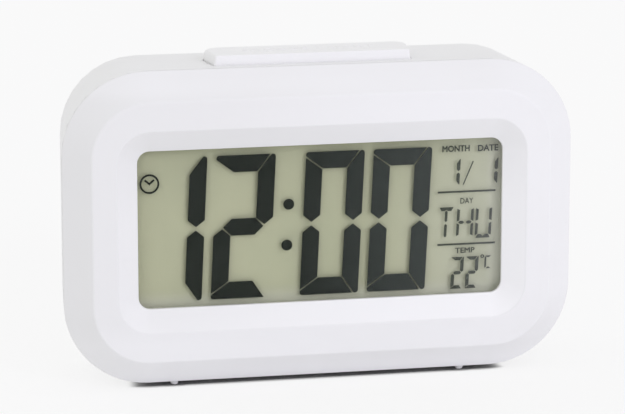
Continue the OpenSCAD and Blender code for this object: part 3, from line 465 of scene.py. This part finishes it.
# Front shell: chamfered surround, sloped frame round the window, tongue and bosses behind
frontShell = {
    "smooth": 20.0,  # here and below: edges flatter than this, in degrees, are shaded smooth
    "chamferWidth": 7.0, "chamferDepth": 6.0, "rimEnd": 6.5,
    "windowWidth": 96.7, "windowHeight": 41.8, "windowRadius": 3.2,
    "slopeWidth": 5.8, "slopeDepth": 3.5, "slopeWall": 1.4, "lip": 0.8, "flange": 4.6,
    "edgeRound": 0.9, "rimRound": 0.5, "frameRound": 0.8, "windowRound": 0.18, "rimBreak": 0.12,
    "flat": 1.2,  # how far the flat ring's loops stand off its rounds
    "tongueInset": 2.3, "tongueThickness": 0.9, "tongueStart": 5.0, "tongueEnd": 8.3,
    "caseBoss": {"x": 57.0, "rows": (28.05, -28.05), "outer": 3.0, "inner": 1.32,
                 "start": 2.9, "end": 12.0},
    "boardBoss": {"x": 30.0, "rows": (29.4, -30.8), "outer": 2.6, "inner": 1.02,
                  "start": 1.5, "end": 8.5},
}


def frontShellMesh(s):
    halfWidth, halfHeight = case["width"] / 2, case["height"] / 2
    radius, wall = case["cornerRadius"], case["wall"]

    def outside(inset, depth):
        return faceRing(halfWidth - inset, halfHeight - inset, radius - inset, depth)

    def aroundWindow(out, depth):
        halfWide, halfTall = s["windowWidth"] / 2 + out, s["windowHeight"] / 2 + out
        return faceRing(halfWide, halfTall, s["windowRadius"] + out, depth)

    lipBack = s["slopeDepth"] + s["lip"]
    slopeAt = s["slopeWidth"] * (1 - wall / s["slopeDepth"]) + s["slopeWall"]
    chamferAt = s["chamferWidth"] * (1 - wall / s["chamferDepth"]) + wall
    tongueInside = s["tongueInset"] + s["tongueThickness"]
    outer = roundedPath([
        (s["tongueInset"], s["rimEnd"], 0), (0, s["rimEnd"], s["rimBreak"]),
        (0, s["chamferDepth"], s["rimRound"]), (s["chamferWidth"], 0, s["edgeRound"]),
        (s["chamferWidth"] + s["flat"], 0, 0)])
    frameEdge = roundedPath([
        (s["slopeWidth"] + s["flat"], 0, 0), (s["slopeWidth"], 0, s["frameRound"]),
        (0, s["slopeDepth"], s["windowRound"]), (0, lipBack, 0), (s["flange"], lipBack, 0),
        (s["flange"], s["slopeDepth"], 0), (s["slopeWall"], s["slopeDepth"], 0), (slopeAt, wall, 0)])
    inner = [(chamferAt, wall), (tongueInside, s["tongueStart"]),
             (tongueInside, s["tongueEnd"]), (s["tongueInset"], s["tongueEnd"])]
    rings = [outside(*p) for p in outer]
    rings += [aroundWindow(*p) for p in frameEdge]
    rings += [outside(*p) for p in inner]
    build = bmesh.new()
    loft(build, rings, closed=True)
    for boss in (s["caseBoss"], s["boardBoss"]):
        for side in (-1, 1):
            for row in boss["rows"]:
                tube(build, side * boss["x"], row, boss["outer"], boss["inner"], boss["start"], boss["end"])
    return shaded("frontShell", build, s["smooth"])


addPiece("frontShell", frontShellMesh(frontShell), "caseWhite", "clock", "front_shell")
print("front shell lofted")


def mergedCopy(node):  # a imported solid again, its loose triangles joined
    build = bmesh.new()
    weld = 0.000002  # metres
    build.from_mesh(nodes[node].data)
    bmesh.ops.remove_doubles(build, verts=build.verts, dist=weld)
    return build


def softCopy(name, node, width, angle):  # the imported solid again, with its hard edges eased
    flatLimit = math.radians(0.6)
    build = mergedCopy(node)
    bmesh.ops.dissolve_limit(build, angle_limit=flatLimit, verts=build.verts, edges=build.edges)
    mesh = bpy.data.meshes.new(name)
    build.to_mesh(mesh)
    build.free()
    eased = settled(name, mesh, "BEVEL", {
        "width": width * mm, "segments": 2, "limit_method": "ANGLE", "angle_limit": math.radians(angle),
        "use_clamp_overlap": True})
    return shaded(name, joined([eased]), angle)


softPieces = {  # name: node, edge width in millimetres, finish, body
    "rearShell": ("rear_shell", 0.25, "caseWhite", "clock"),
    "batteryDoor": ("battery_door", 0.12, "caseWhite", "door"),
    "alarmKnob": ("alarm_knob", 0.15, "knobGraphite", "alarm_slider"),
}
softAngle = 32.0  # edges sharper than this are eased
for softName, (nodeName, edge, finishName, body) in softPieces.items():
    addPiece(softName, softCopy(softName, nodeName, edge, softAngle), finishName, body, nodeName)
print("rear shell, door and knob eased")

# Snooze bar: square front corners, ends flaring to round rear corners, flange and post below;
# a low skirt closes the slot round it, but for the left end
snoozeBar = {
    "middle": -0.9, "frontDepth": 10.7, "width": 13.0, "end": 26.1, "flare": 1.0, "lean": 0.4,
    "frontRadius": 0.6, "cornerRadius": 3.5, "round": 1.2, "frontRound": 0.3, "top": 86.5,
    "skirt": 0.16, "leftOpen": 1.0, "flangeTop": 81.2, "flangeLow": 80.0, "flangeWidth": 1.2,
    "postRadius": 2.6, "postLength": 1.6, "postSink": 0.3, "postSteps": 8,
    "around": 180, "roundSteps": 8, "smooth": 28.0,
}


def barRing(s, inset, frontInset, z, grow=0.0, leftOpen=0.0):  # seen from above: the hull of four circles
    front = s["frontDepth"] - case["depth"] / 2
    lean = s["lean"] * max(0.0, z - case["top"]) / (s["top"] - case["top"])
    circles = []
    for side in (-1, 1):
        circles.append((s["middle"] + side * (s["end"] - lean - frontInset - s["frontRadius"]),
                        front + frontInset + s["frontRadius"], s["frontRadius"]))
        circles.append((s["middle"] + side * (s["end"] + s["flare"] - inset - s["cornerRadius"]),
                        front + s["width"] - s["cornerRadius"] - inset, s["cornerRadius"]))
    ring = []
    for k in range(s["around"]):
        a = 2 * math.pi * (k + 0.5) / s["around"]
        nx, ny = math.cos(a), math.sin(a)
        cx, cy, r = max(circles, key=lambda c: c[0] * nx + c[1] * ny + c[2])
        r += grow * (1 + leftOpen * min(0.0, nx))
        ring.append(Vector((cx + r * nx, cy + r * ny, z)) * mm)
    return ring


def snoozeBarMesh(s):
    def drawnIn(z, radius):  # how far a round edge has turned in at a height
        turned = max(0.0, 1 - (s["top"] - z) / radius)
        return radius * (1 - math.sqrt(max(0.0, 1 - turned * turned)))

    heights = {case["top"] + s["skirt"]}
    for k in range(s["roundSteps"] + 1):
        drop = 1 - math.sin(math.pi / 2 * k / s["roundSteps"])
        heights |= {s["top"] - s["round"] * drop, s["top"] - s["frontRound"] * drop}
    rings = [barRing(s, 0, 0, z, s["flangeWidth"]) for z in (s["flangeLow"], s["flangeTop"])]
    rings.append(barRing(s, 0, 0, s["flangeTop"]))
    rings.append(barRing(s, 0, 0, case["top"] - s["skirt"], s["skirt"], s["leftOpen"]))
    for z in sorted(heights):
        rings.append(barRing(s, drawnIn(z, s["round"]), drawnIn(z, s["frontRound"]), z))
    build = bmesh.new()
    loft(build, rings)
    middle = s["frontDepth"] + s["width"] / 2 - case["depth"] / 2
    post = roundedOutline(s["postRadius"], s["postRadius"], s["postRadius"] * fullRound, s["postSteps"])
    loft(build, [[Vector((x, middle + y, z)) * mm for x, y in post]
                 for z in (s["flangeLow"] - s["postLength"], s["flangeLow"] + s["postSink"])])
    return shaded("snoozeBar", build, s["smooth"])


addPiece("snoozeBar", snoozeBarMesh(snoozeBar), "barWhite", "snooze", "snooze_bar")
print("snooze bar lofted")

# Keys on the back: rounded caps with a finger dish, a flange and a stem inside
keyCap = {
    "row": 14.0, "pitch": 17.0, "width": 9.0, "height": 5.0, "radius": 1.2, "top": 35.9,
    "cornerSteps": 8, "edge": 0.6, "edgeSteps": 6, "smooth": 28.0, "flange": 1.2, "flangeFront": 31.7,
    "flangeBack": 32.7, "stemRadius": 1.8, "stemFront": 17.1, "stemSink": 0.2,
    "dish": 0.25, "dishRadius": 0.5, "dishSpare": (0.2, 0.1),
    "dishRings": ((0.72, 0.0), (0.5, 0.55), (0.25, 0.9)),  # share of the top, share of the depth
}


def keyMesh(s, name, x):
    y, steps = s["row"], s["cornerSteps"]
    halfWidth, halfHeight, radius = s["width"] / 2, s["height"] / 2, s["radius"]
    build = bmesh.new()
    rings = [faceRing(halfWidth + s["flange"], halfHeight + s["flange"], radius, d, steps, x, y)
             for d in (s["flangeFront"], s["flangeBack"])]
    rings.append(faceRing(halfWidth, halfHeight, radius, s["flangeBack"], steps, x, y))
    for k in range(s["edgeSteps"] + 1):
        a = math.pi / 2 * k / s["edgeSteps"]
        inset = s["edge"] * (1 - math.cos(a))
        depth = s["top"] - s["edge"] * (1 - math.sin(a))
        rings.append(faceRing(halfWidth - inset, halfHeight - inset, radius - inset, depth, steps, x, y))
    spareWidth, spareHeight = s["dishSpare"]
    for share, sink in s["dishRings"]:
        rings.append(faceRing((halfWidth - s["edge"]) * share + spareWidth,
                              (halfHeight - s["edge"]) * share + spareHeight,
                              radius * s["dishRadius"] * share, s["top"] - s["dish"] * sink, steps, x, y))
    loft(build, rings)
    stemEnds = (s["stemFront"], s["flangeFront"] + s["stemSink"])
    loft(build, [circleRing(s["stemRadius"], d, x, y) for d in stemEnds])
    return shaded(name, build, s["smooth"])


keyPlaces = {"mode": -2, "set": -1, "up": 1, "down": 2}
for keyName, place in keyPlaces.items():
    capMesh = keyMesh(keyCap, keyName + "Key", place * keyCap["pitch"])
    addPiece(keyName + "Key", capMesh, "keyGrey", keyName, keyName + "_key")
print("keys lofted")


def wordMesh(text, matrix, height, thick, width=None, bold=0.0, spread=1.0):  # lettering in millimetres
    curve = bpy.data.curves.new(text, "FONT")
    curve.body = text
    curve.space_character = spread
    curve.resolution_u = 5
    flat = joined([plainMesh(newHolder(text, curve))])
    bmesh.ops.remove_doubles(flat, verts=flat.verts, dist=0.0001)
    rim = bmesh.ops.inset_region(flat, faces=flat.faces, thickness=-bold,
                                 use_boundary=True, use_even_offset=True)
    bmesh.ops.delete(flat, geom=rim["faces"], context="FACES")  # what is left has grown by bold all round
    mesh = bpy.data.meshes.new(text)
    flat.to_mesh(mesh)
    flat.free()
    mesh = settled(text, mesh, "SOLIDIFY", {"thickness": 1.0, "offset": 0.0})
    low = [min(v.co[i] for v in mesh.vertices) for i in range(3)]
    high = [max(v.co[i] for v in mesh.vertices) for i in range(3)]
    tall = height / (high[1] - low[1])
    wide = width / (high[0] - low[0]) if width else tall
    middle = Matrix.Translation([-(low[i] + high[i]) / 2 for i in range(3)])
    mesh.transform(matrix @ Matrix.Diagonal((wide * mm, tall * mm, thick * mm, 1.0)) @ middle)
    return mesh


# Display figures in their thin layer, with the words and letters of the right-hand column
display = {
    "layer": 5.65, "thick": 0.06, "lean": 0.048, "smooth": 30.0,
    "bold": {"MONTH": 0.034, "DATE": 0.030, "DAY": 0.010, "TEMP": 0.022},
    "words": {  # left, right, low, high
        "MONTH": (32.6, 40.0, 17.0, 18.7), "DATE": (42.2, 47.7, 16.9, 18.6),
        "DAY": (37.6, 41.1, 3.0, 4.5), "TEMP": (36.3, 41.6, -10.35, -8.9)},
    "letterLow": -5.95, "letterHigh": 1.85, "stroke": 0.72, "crossStroke": 0.84, "gap": 0.24,
    "stemDrop": 0.8, "sideCut": 0.45, "crossShort": 0.6,  # shares of the stroke
    "barStroke": 1.0, "barSink": 0.5, "barLift": 0.32, "barSlant": 0.55,
    "notches": {"T": (0.45, 0.66), "U": (0.60, 0.50)},  # half width, share of the bar left
    "letters": {"T": (31.8, 35.6), "H": (36.65, 41.15), "U": (41.75, 46.1)},
    "sign": {"left": 44.95, "right": 46.5, "low": -14.85, "high": -11.35, "stroke": 0.46, "slant": 1.0,
             "gap": 0.3, "sideOut": 0.1, "sideShort": 0.15, "sideCut": 0.3},
    "ring": {"x": 43.7, "y": -11.5, "outer": 0.5, "inner": 0.22},
}


def onDisplay(x, y, d):  # placing in the layer of the figures, read from the front
    return placing(atFace(x, y, d["layer"]), (1, 0, 0), (0, 0, 1))


def barOutline(left, right, edge, s, slant, notch=None):  # a flat stroke along an edge; s below zero hangs
    middle = (left + right) / 2
    end = abs(s) * slant
    points = [(left, edge), (right, edge), (right - end, edge + s)]
    if notch:
        half, share = notch
        points += [(middle + half, edge + s), (middle, edge + s * share), (middle - half, edge + s)]
    return points + [(left + end, edge + s)]


def uprightOutline(outer, inner, low, high, cut):  # a standing stroke, cut back on its inner side
    return [(outer, low), (outer, high), (inner, high - cut), (inner, low + cut)]


def pointedOutline(ends, s, upright):  # a stroke pointed at both ends
    low, high, centre = ends
    shape = [(low, 0), (low + s / 2, s / 2), (high - s / 2, s / 2), (high, 0), (high - s / 2, -s / 2),
             (low + s / 2, -s / 2)]
    return [(centre + v, u) if upright else (u, centre + v) for u, v in shape]


def letterOutlines(name, left, right, d):
    s, gap, low, high = d["stroke"], d["gap"], d["letterLow"], d["letterHigh"]
    bar, slant, notch = d["barStroke"], d["barSlant"], d["notches"].get(name)
    middle, centre = (low + high) / 2, (left + right) / 2
    if name == "T":
        return [barOutline(left, right, high + d["barLift"], -bar, slant, notch),
                pointedOutline((middle + gap, high - s * d["stemDrop"], centre), s, True),
                pointedOutline((low, middle - gap, centre), s, True)]
    sides = [uprightOutline(x, x + turn * s, lowEnd, highEnd, s * d["sideCut"])
             for x, turn in ((left, 1), (right, -1))
             for lowEnd, highEnd in ((low + gap, middle - gap), (middle + gap, high - gap))]
    if name == "U":
        return sides + [barOutline(left + gap, right - gap, low - d["barSink"], bar, slant, notch)]
    short = s * d["crossShort"]
    return sides + [pointedOutline((left + short, centre - gap, middle), d["crossStroke"], False),
                    pointedOutline((centre + gap, right - short, middle), d["crossStroke"], False)]


def displayWordMesh(d):
    thick, layer = d["thick"], d["layer"]
    front, back = layer - thick / 2, layer + thick / 2
    words = []
    for text, (left, right, low, high) in d["words"].items():
        matrix = onDisplay((left + right) / 2, (low + high) / 2, d)
        words.append(wordMesh(text, matrix, high - low, thick, right - left, d["bold"][text]))
    build = joined(words)
    outlines = []
    for name, (left, right) in d["letters"].items():
        outlines += letterOutlines(name, left, right, d)
    c = d["sign"]
    side, low, high = c["left"] - c["sideOut"], c["low"] + c["sideShort"], c["high"] - c["sideShort"]
    outlines += [barOutline(c["left"], c["right"], c["high"], -c["stroke"], c["slant"]),
                 barOutline(c["left"] + c["gap"], c["right"], c["low"], c["stroke"], c["slant"]),
                 uprightOutline(side, side + c["stroke"], low, high, c["sideCut"])]
    middle = (d["letterLow"] + d["letterHigh"]) / 2
    for outline in outlines:
        leant = [(u + d["lean"] * (v - middle), v) for u, v in outline]
        loft(build, [[atFace(u, v, depth) for u, v in leant] for depth in (front, back)])
    r = d["ring"]
    tube(build, r["x"], r["y"], r["outer"], r["inner"], front, back)
    return shaded("displayWords", build, d["smooth"])


def displayFigureMesh(d):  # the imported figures, thinned so that they lie clear of both glasses
    build = mergedCopy("lcd_figures")
    low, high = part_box("lcd_figures")
    middle = (low[1] + high[1]) / 2
    for vert in build.verts:
        vert.co.y = middle + (vert.co.y - middle) * d["thick"] * mm / (high[1] - low[1])
    return shaded("displayFigures", build, d["smooth"])


addPiece("displayFigures", displayFigureMesh(display), "figureInk", "clock", "lcd_figures")
addPiece("displayWords", displayWordMesh(display), "figureInk", "clock")
print("display figures and words set")

# Words on the case: raised on the bar, printed in the recess behind the keys
legends = {
    "bar": "SNOOZE / LIGHT", "barHeight": 2.6, "barRaise": 0.1, "barSpread": 1.32, "barBold": 0.012,
    "keyHeight": 1.55, "keyRow": 18.3, "keyDepth": 35.02, "keyThick": 0.06, "keyBold": 0.015,
    "switchGap": 3.4, "smooth": 30.0,
}


def barWordMesh(s, b):
    middle = b["frontDepth"] + b["width"] / 2 - case["depth"] / 2
    top = Vector((b["middle"], middle, b["top"] + s["barRaise"] / 2)) * mm
    matrix = placing(top, (1, 0, 0), (0, 1, 0))
    word = wordMesh(s["bar"], matrix, s["barHeight"], s["barRaise"], None, s["barBold"], s["barSpread"])
    return shaded("barWords", joined([word]), s["smooth"])


def keyWordMesh(s):
    words = {name.upper(): place * keyCap["pitch"] for name, place in keyPlaces.items()}
    words |= {"OFF": -s["switchGap"], "ON": s["switchGap"]}
    made = []
    for text, x in words.items():
        matrix = placing(atFace(x, s["keyRow"], s["keyDepth"]), (-1, 0, 0), (0, 0, 1))
        made.append(wordMesh(text, matrix, s["keyHeight"], s["keyThick"], None, s["keyBold"]))
    return shaded("keyWords", joined(made), s["smooth"])


addPiece("barWords", barWordMesh(legends, snoozeBar), "barWhite", "snooze")
addPiece("keyWords", keyWordMesh(legends), "legendGrey", "clock")
print("words on the case set")


def newRecipe(name, sizes):  # a geometry tree, with a wire for each of its named sizes
    tree = bpy.data.node_groups.new(name, "GeometryNodeTree")
    tree.interface.new_socket("Geometry", in_out="INPUT", socket_type="NodeSocketGeometry")
    for key, value in sizes.items():
        kind = "NodeSocketInt" if isinstance(value, int) else "NodeSocketFloat"
        tree.interface.new_socket(key, in_out="INPUT", socket_type=kind)
    tree.interface.new_socket("Geometry", in_out="OUTPUT", socket_type="NodeSocketGeometry")
    entry = tree.nodes.new("NodeGroupInput")
    return tree, {socket.name: Wire(tree, socket) for socket in entry.outputs if socket.name}


def closeRecipe(tree, geometry, finishName):
    solid = geometry.node("GeometryNodeRealizeInstances", None, {"Geometry": geometry})
    dressed = solid.node("GeometryNodeSetMaterial", None,
                         {"Geometry": solid, "Material": finishes[finishName]})
    tree.links.new(dressed.socket, tree.nodes.new("NodeGroupOutput").inputs[0])


def grown(name, points, tree, sizes):  # runs a geometry tree on a few points
    seeds = bpy.data.meshes.new(name)
    seeds.from_pydata(points, [], [])
    holder = newHolder(name, seeds)
    modifier = holder.modifiers.new("recipe", "NODES")
    modifier.node_group = tree
    for item in tree.interface.items_tree:
        if item.in_out == "INPUT" and item.name in sizes:
            value = sizes[item.name]
            modifier[item.identifier] = value if isinstance(value, int) else value * mm
    return plainMesh(holder)


# Screws: domed heads with a cross recess over a threaded shank, above the front shell's bosses
screwSets = {
    "caseScrews": {
        "node": "case_screws", "boss": "caseBoss", "seat": 19.0,
        "sizes": {"Head Radius": 2.47, "Head Height": 1.8, "Shank Radius": 1.3, "Shank Length": 12.0,
                  "Pitch": 1.0, "Seed": 4}},
    "boardScrews": {
        "node": "board_screws", "boss": "boardBoss", "seat": 12.1,
        "sizes": {"Head Radius": 1.9, "Head Height": 1.3, "Shank Radius": 1.0, "Shank Length": 6.4,
                  "Pitch": 0.8, "Seed": 9}},
}
screwShape = {
    "domeFall": 0.4, "crossLong": 1.2, "crossWide": 0.3,  # shares of the head
    "core": 0.8, "ridge": 0.2, "threaded": 0.9, "threadStart": 0.97,  # shares of the shank
    "smooth": 40.0,
}


def screwRecipe(sizes, shape):
    tree, size = newRecipe("screwSet", sizes)
    headR, headH = size["Head Radius"], size["Head Height"]
    shankR, shankL = size["Shank Radius"], size["Shank Length"]

    def lifted(part, z):  # a part of the screw, moved along its axis
        return part.node("GeometryNodeTransform", None, {"Geometry": part, "Translation": z.vector(Z=z)})

    blank = headR.node("GeometryNodeMeshCylinder", {"fill_type": "TRIANGLE_FAN"}, {
        "Vertices": 40, "Side Segments": 4, "Fill Segments": 6, "Radius": headR, "Depth": headH})
    spot = blank.node("GeometryNodeInputPosition")
    x, y, z = (spot.axis(name) for name in "XYZ")
    share = (x * x + y * y) / (headR * headR)
    sink = share * share * (z / headH + 0.5) * headH * -shape["domeFall"]  # falls away towards the rim
    domed = blank.node("GeometryNodeSetPosition", None, {"Geometry": blank, "Offset": spot.vector(Z=sink)})
    up = headH * 0.5
    long, wide = headR * shape["crossLong"], headR * shape["crossWide"]
    cuts = []
    for across, along in ((long, wide), (wide, long)):
        bit = headR.node("GeometryNodeMeshCube", None, {"Size": headR.vector(X=across, Y=along, Z=headH)})
        cuts.append(lifted(bit, up))
    head = domed.node("GeometryNodeMeshBoolean", {"operation": "DIFFERENCE"},
                      {"Mesh 1": domed, "Mesh 2": cuts})
    coreR, threadL = shankR * shape["core"], shankL * shape["threaded"]
    core = shankR.node("GeometryNodeMeshCylinder", None,
                       {"Vertices": 24, "Radius": coreR, "Depth": shankL})
    path = shankR.node("GeometryNodeCurveSpiral", None, {
        "Resolution": 20, "Rotations": threadL / size["Pitch"], "Start Radius": coreR,
        "End Radius": coreR, "Height": threadL})
    ridge = path.node("GeometryNodeCurvePrimitiveCircle", None,
                      {"Resolution": 4, "Radius": shankR * shape["ridge"]})
    thread = path.node("GeometryNodeCurveToMesh", None,
                       {"Curve": path, "Profile Curve": ridge, "Fill Caps": True})
    parts = [lifted(head, up), lifted(core, shankL * -0.5), lifted(thread, shankL * -shape["threadStart"])]
    whole = head.node("GeometryNodeJoinGeometry", None, {"Geometry": parts})
    spin = whole.node("FunctionNodeRandomValue", None, {2: 0.0, 3: math.pi, "Seed": size["Seed"]}, 1)
    turn = spin.node("FunctionNodeEulerToRotation", None, {"Euler": spin.vector(X=-math.pi / 2, Y=spin)})
    placed = whole.node("GeometryNodeInstanceOnPoints", None,
                        {"Points": size["Geometry"], "Instance": whole, "Rotation": turn})
    closeRecipe(tree, placed, "screwSteel")
    return tree


screwTree = screwRecipe(screwSets["caseScrews"]["sizes"], screwShape)
for setName, s in screwSets.items():
    boss = frontShell[s["boss"]]
    seats = [atFace(side * boss["x"], row, s["seat"]) for side in (-1, 1) for row in boss["rows"]]
    screws = joined([grown(setName, seats, screwTree, s["sizes"])])
    addPiece(setName, shaded(setName, screws, screwShape["smooth"]), "screwSteel", "clock", s["node"])
print("screws grown")

# Coil springs: wire wound along a cone or a cylinder
contactSpring = {"Wire Radius": 0.3, "Start Radius": 3.4, "End Radius": 1.8, "Height": 5.4, "Turns": 4}
sounderSpring = {"Wire Radius": 0.16, "Start Radius": 1.04, "End Radius": 1.04, "Height": 19.3, "Turns": 16}
springSmooth = 50.0


def springRecipe(name, sizes, finishName):
    tree, size = newRecipe(name, sizes)
    path = size["Height"].node("GeometryNodeCurveSpiral", None, {
        "Resolution": 32, "Rotations": size["Turns"], "Start Radius": size["Start Radius"],
        "End Radius": size["End Radius"], "Height": size["Height"]})
    wire = path.node("GeometryNodeCurvePrimitiveCircle", None,
                     {"Resolution": 12, "Radius": size["Wire Radius"]})
    coil = path.node("GeometryNodeCurveToMesh", None,
                     {"Curve": path, "Profile Curve": wire, "Fill Caps": True})
    placed = coil.node("GeometryNodeInstanceOnPoints", None, {"Points": size["Geometry"], "Instance": coil})
    closeRecipe(tree, placed, finishName)
    return tree


contactTree = springRecipe("contactSpring", contactSpring, "contactNickel")
for springName, nodeName, cellName, side in (("negativeSpring", "negative_spring", "cell_upper", -1),
                                             ("bridgeSpring", "bridge_spring", "cell_lower", 1)):
    low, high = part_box(cellName)
    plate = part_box(nodeName)[0 if side < 0 else 1][0]
    footX = plate - side * contactSpring["Wire Radius"] * mm
    foot = Vector((footX, (low[1] + high[1]) / 2, (low[2] + high[2]) / 2))
    coil = grown(springName, [(0, 0, 0)], contactTree, contactSpring)
    coil.transform(placing(foot, (0, 0, 1), (0, side, 0)))
    spring = shaded(springName, joined([coil]), springSmooth)
    addPiece(springName, spring, "contactNickel", "clock", nodeName)

sounderTree = springRecipe("sounderSpring", sounderSpring, "springGold")
low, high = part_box("sounder_springs")
outerRadius = (sounderSpring["Start Radius"] + sounderSpring["Wire Radius"]) * mm
coils = []
for x in (low[0] + outerRadius, high[0] - outerRadius):
    coil = grown("sounderSprings", [(0, 0, 0)], sounderTree, sounderSpring)
    foot = Vector((x, low[1] + sounderSpring["Wire Radius"] * mm, (low[2] + high[2]) / 2))
    coil.transform(placing(foot, (0, 0, 1), (1, 0, 0)))
    coils.append(coil)
coilPair = shaded("sounderSprings", joined(coils), springSmooth)
addPiece("sounderSprings", coilPair, "springGold", "clock", "sounder_springs")
print("springs grown")

# Cells: crimped can, flat end with a shallow dish, nub on its shoulder
cell = {
    "length": 44.5, "radius": 5.25, "around": 48, "smooth": 28.0, "flatRound": 0.5, "crimpRound": 0.7,
    "dish": ((0.3, 2.9), (0.25, 3.3), (0.0, 3.6)),  # depth and radius of its rings
    "shoulder": 3.2, "groove": 0.25, "grooveRadius": 3.0, "grooveRound": 0.2,
    "nubRadius": 1.9, "nubLength": 0.8, "nubFoot": 0.15, "nubRound": 0.25, "nubFlat": 0.6,
}


def cellMesh(s, name, node, direction):
    low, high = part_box(node)
    y, z = (low[1] + high[1]) / 2, (low[2] + high[2]) / 2
    flatEnd = low[0] if direction > 0 else high[0]
    can, nub = s["length"] - s["nubLength"], s["nubRadius"]
    groove = can - s["groove"]
    outline = roundedPath([
        (*s["dish"][-1], 0), (0.0, s["radius"], s["flatRound"]), (can, s["radius"], s["crimpRound"]),
        (can, s["shoulder"], s["grooveRound"]), (groove, s["grooveRadius"], s["grooveRound"]),
        (groove, nub, s["nubFoot"]), (s["length"], nub, s["nubRound"]), (s["length"], s["nubFlat"], 0)])
    rings = []
    for along, r in [*s["dish"], *outline[1:]]:
        x = flatEnd + direction * along * mm
        turns = (2 * math.pi * k / s["around"] for k in range(s["around"]))
        rings.append([Vector((x, y + r * mm * math.cos(a), z + r * mm * math.sin(a))) for a in turns])
    build = bmesh.new()
    loft(build, rings)
    return shaded(name, build, s["smooth"]), flatEnd


for cellName, nodeName, direction in (("cellUpper", "cell_upper", 1), ("cellLower", "cell_lower", -1)):
    canMesh, flatEnd = cellMesh(cell, cellName, nodeName, direction)
    finishes[cellName] = cellJacket(cellName + "Jacket", flatEnd, direction)
    addPiece(cellName, canMesh, cellName, "clock", nodeName)
print("cells lofted")

# Camera at the photograph's view
view = {"target": (-3.16, -18.0, 47.86), "yaw": -0.197012, "pitch": 0.226038, "distance": 873.31,
        "focalPixels": 3373.35, "frameWidth": 625}


def addCamera(s):
    across = math.cos(s["pitch"])
    back = Vector((math.sin(s["yaw"]) * across, -math.cos(s["yaw"]) * across, math.sin(s["pitch"])))
    data = bpy.data.cameras.new("camera")
    data.sensor_fit = "HORIZONTAL"
    data.lens = data.sensor_width * s["focalPixels"] / s["frameWidth"]
    data.clip_start, data.clip_end = 0.01, 50.0
    camera = newHolder("camera", data)
    camera.location = (Vector(s["target"]) + back * s["distance"]) * mm
    camera.rotation_mode = "QUATERNION"
    camera.rotation_quaternion = (-back).to_track_quat("-Z", "Y")
    scene.camera = camera


addCamera(view)

# Studio: even pale surroundings, a broad lamp near the front, a high one at the right and a weak one behind
studio = {
    "ambient": 0.79, "paper": 0.94, "floorSize": 8.0,
    "floorBounce": 0.93, "floorShade": 0.2, "floorGlow": 0.775,  # greys of the floor as a light and as seen
    # painted contact shadow: how far the floor looks for the case above it, and the occlusion span its glow
    # darkens over
    "contact": 0.0026, "contactDark": 0.3, "contactClear": 0.62,
    "lamps": {  # a size in metres makes an area lamp, a spread in degrees a distant one
        "frontLamp": {"place": (0.15, -0.375, 0.055), "energy": 0.24, "size": 0.24,
                      "tint": (0.85, 0.82, 1.0)},
        "highLamp": {"place": (0.45, -0.8, 0.39), "energy": 0.46, "spread": 18.0,
                     "tint": (0.85, 0.82, 1.0)},
        "rimLamp": {"place": (-0.75, 0.3, 0.59), "energy": 0.18, "spread": 40.0,
                    "tint": (1.0, 1.0, 1.0)},
    },
}


def backgroundRays(tree):  # 1 for rays that show the background itself
    path = tree.nodes.new("ShaderNodeLightPath")
    seen, shine, clear = (Wire(tree, path.outputs["Is %s Ray" % kind])
                          for kind in ("Camera", "Glossy", "Transmission"))
    return seen.maths("MINIMUM", seen + shine + clear, 1.0)


def addStudio(s):
    scene.view_settings.view_transform = "Standard"
    scene.cycles.transparent_max_bounces = 32  # the display is a stack of clear sheets
    world = bpy.data.worlds.new("studio")
    world.use_nodes = True
    scene.world = world
    tree = world.node_tree
    strength = s["ambient"] + (s["paper"] - s["ambient"]) * backgroundRays(tree)
    background = tree.nodes["Background"]
    background.inputs["Color"].default_value = (1.0, 1.0, 1.0, 1.0)
    tree.links.new(strength.socket, background.inputs["Strength"])
    for name, spec in s["lamps"].items():
        lamp = bpy.data.lights.new(name, "AREA" if "size" in spec else "SUN")
        lamp.energy = spec["energy"]
        lamp.color = spec["tint"]
        if "size" in spec:
            lamp.size = spec["size"]
        else:
            lamp.angle = math.radians(spec["spread"])
        holder = newHolder(name, lamp)
        holder.location = spec["place"]
        holder.rotation_mode = "QUATERNION"
        holder.rotation_quaternion = Vector(spec["place"]).to_track_quat("Z", "Y")
        holder.visible_camera = False
    half = s["floorSize"] / 2
    corners = [(-half, -half, 0), (half, -half, 0), (half, half, 0), (-half, half, 0)]
    mesh = bpy.data.meshes.new("floor")
    mesh.from_pydata(corners, [], [(0, 1, 2, 3)])
    floor = newHolder("floor", mesh)
    fixed = {"Roughness": 0.9, "Specular IOR Level": 0.0, "Emission Strength": 1.0}
    finish, shader, place = newFinish("floorPaper", fixed)
    seen = backgroundRays(finish.node_tree)
    # painted contact shadow: the floor's glow is darkened where the case stands close above it
    near = seen.node("ShaderNodeAmbientOcclusion", {"samples": 24}, {"Distance": s["contact"]}, "AO")
    bare = near.smooth(s["contactDark"], s["contactClear"])
    bounce, shade, glow = ((s[key],) * 3 for key in ("floorBounce", "floorShade", "floorGlow"))
    feed(shader, baseColor=seen.mix(bounce, shade), emission=(seen * bare).mix((0, 0, 0), glow))
    mesh.materials.append(finish)
    kept = bpy.data.collections.new("floorKept")  # the near lamp would leave a hot spot on the floor
    kept.objects.link(floor)
    kept.collection_objects[0].light_linking.link_state = "EXCLUDE"
    scene.objects["frontLamp"].light_linking.receiver_collection = kept


addStudio(studio)
print("camera and studio set")
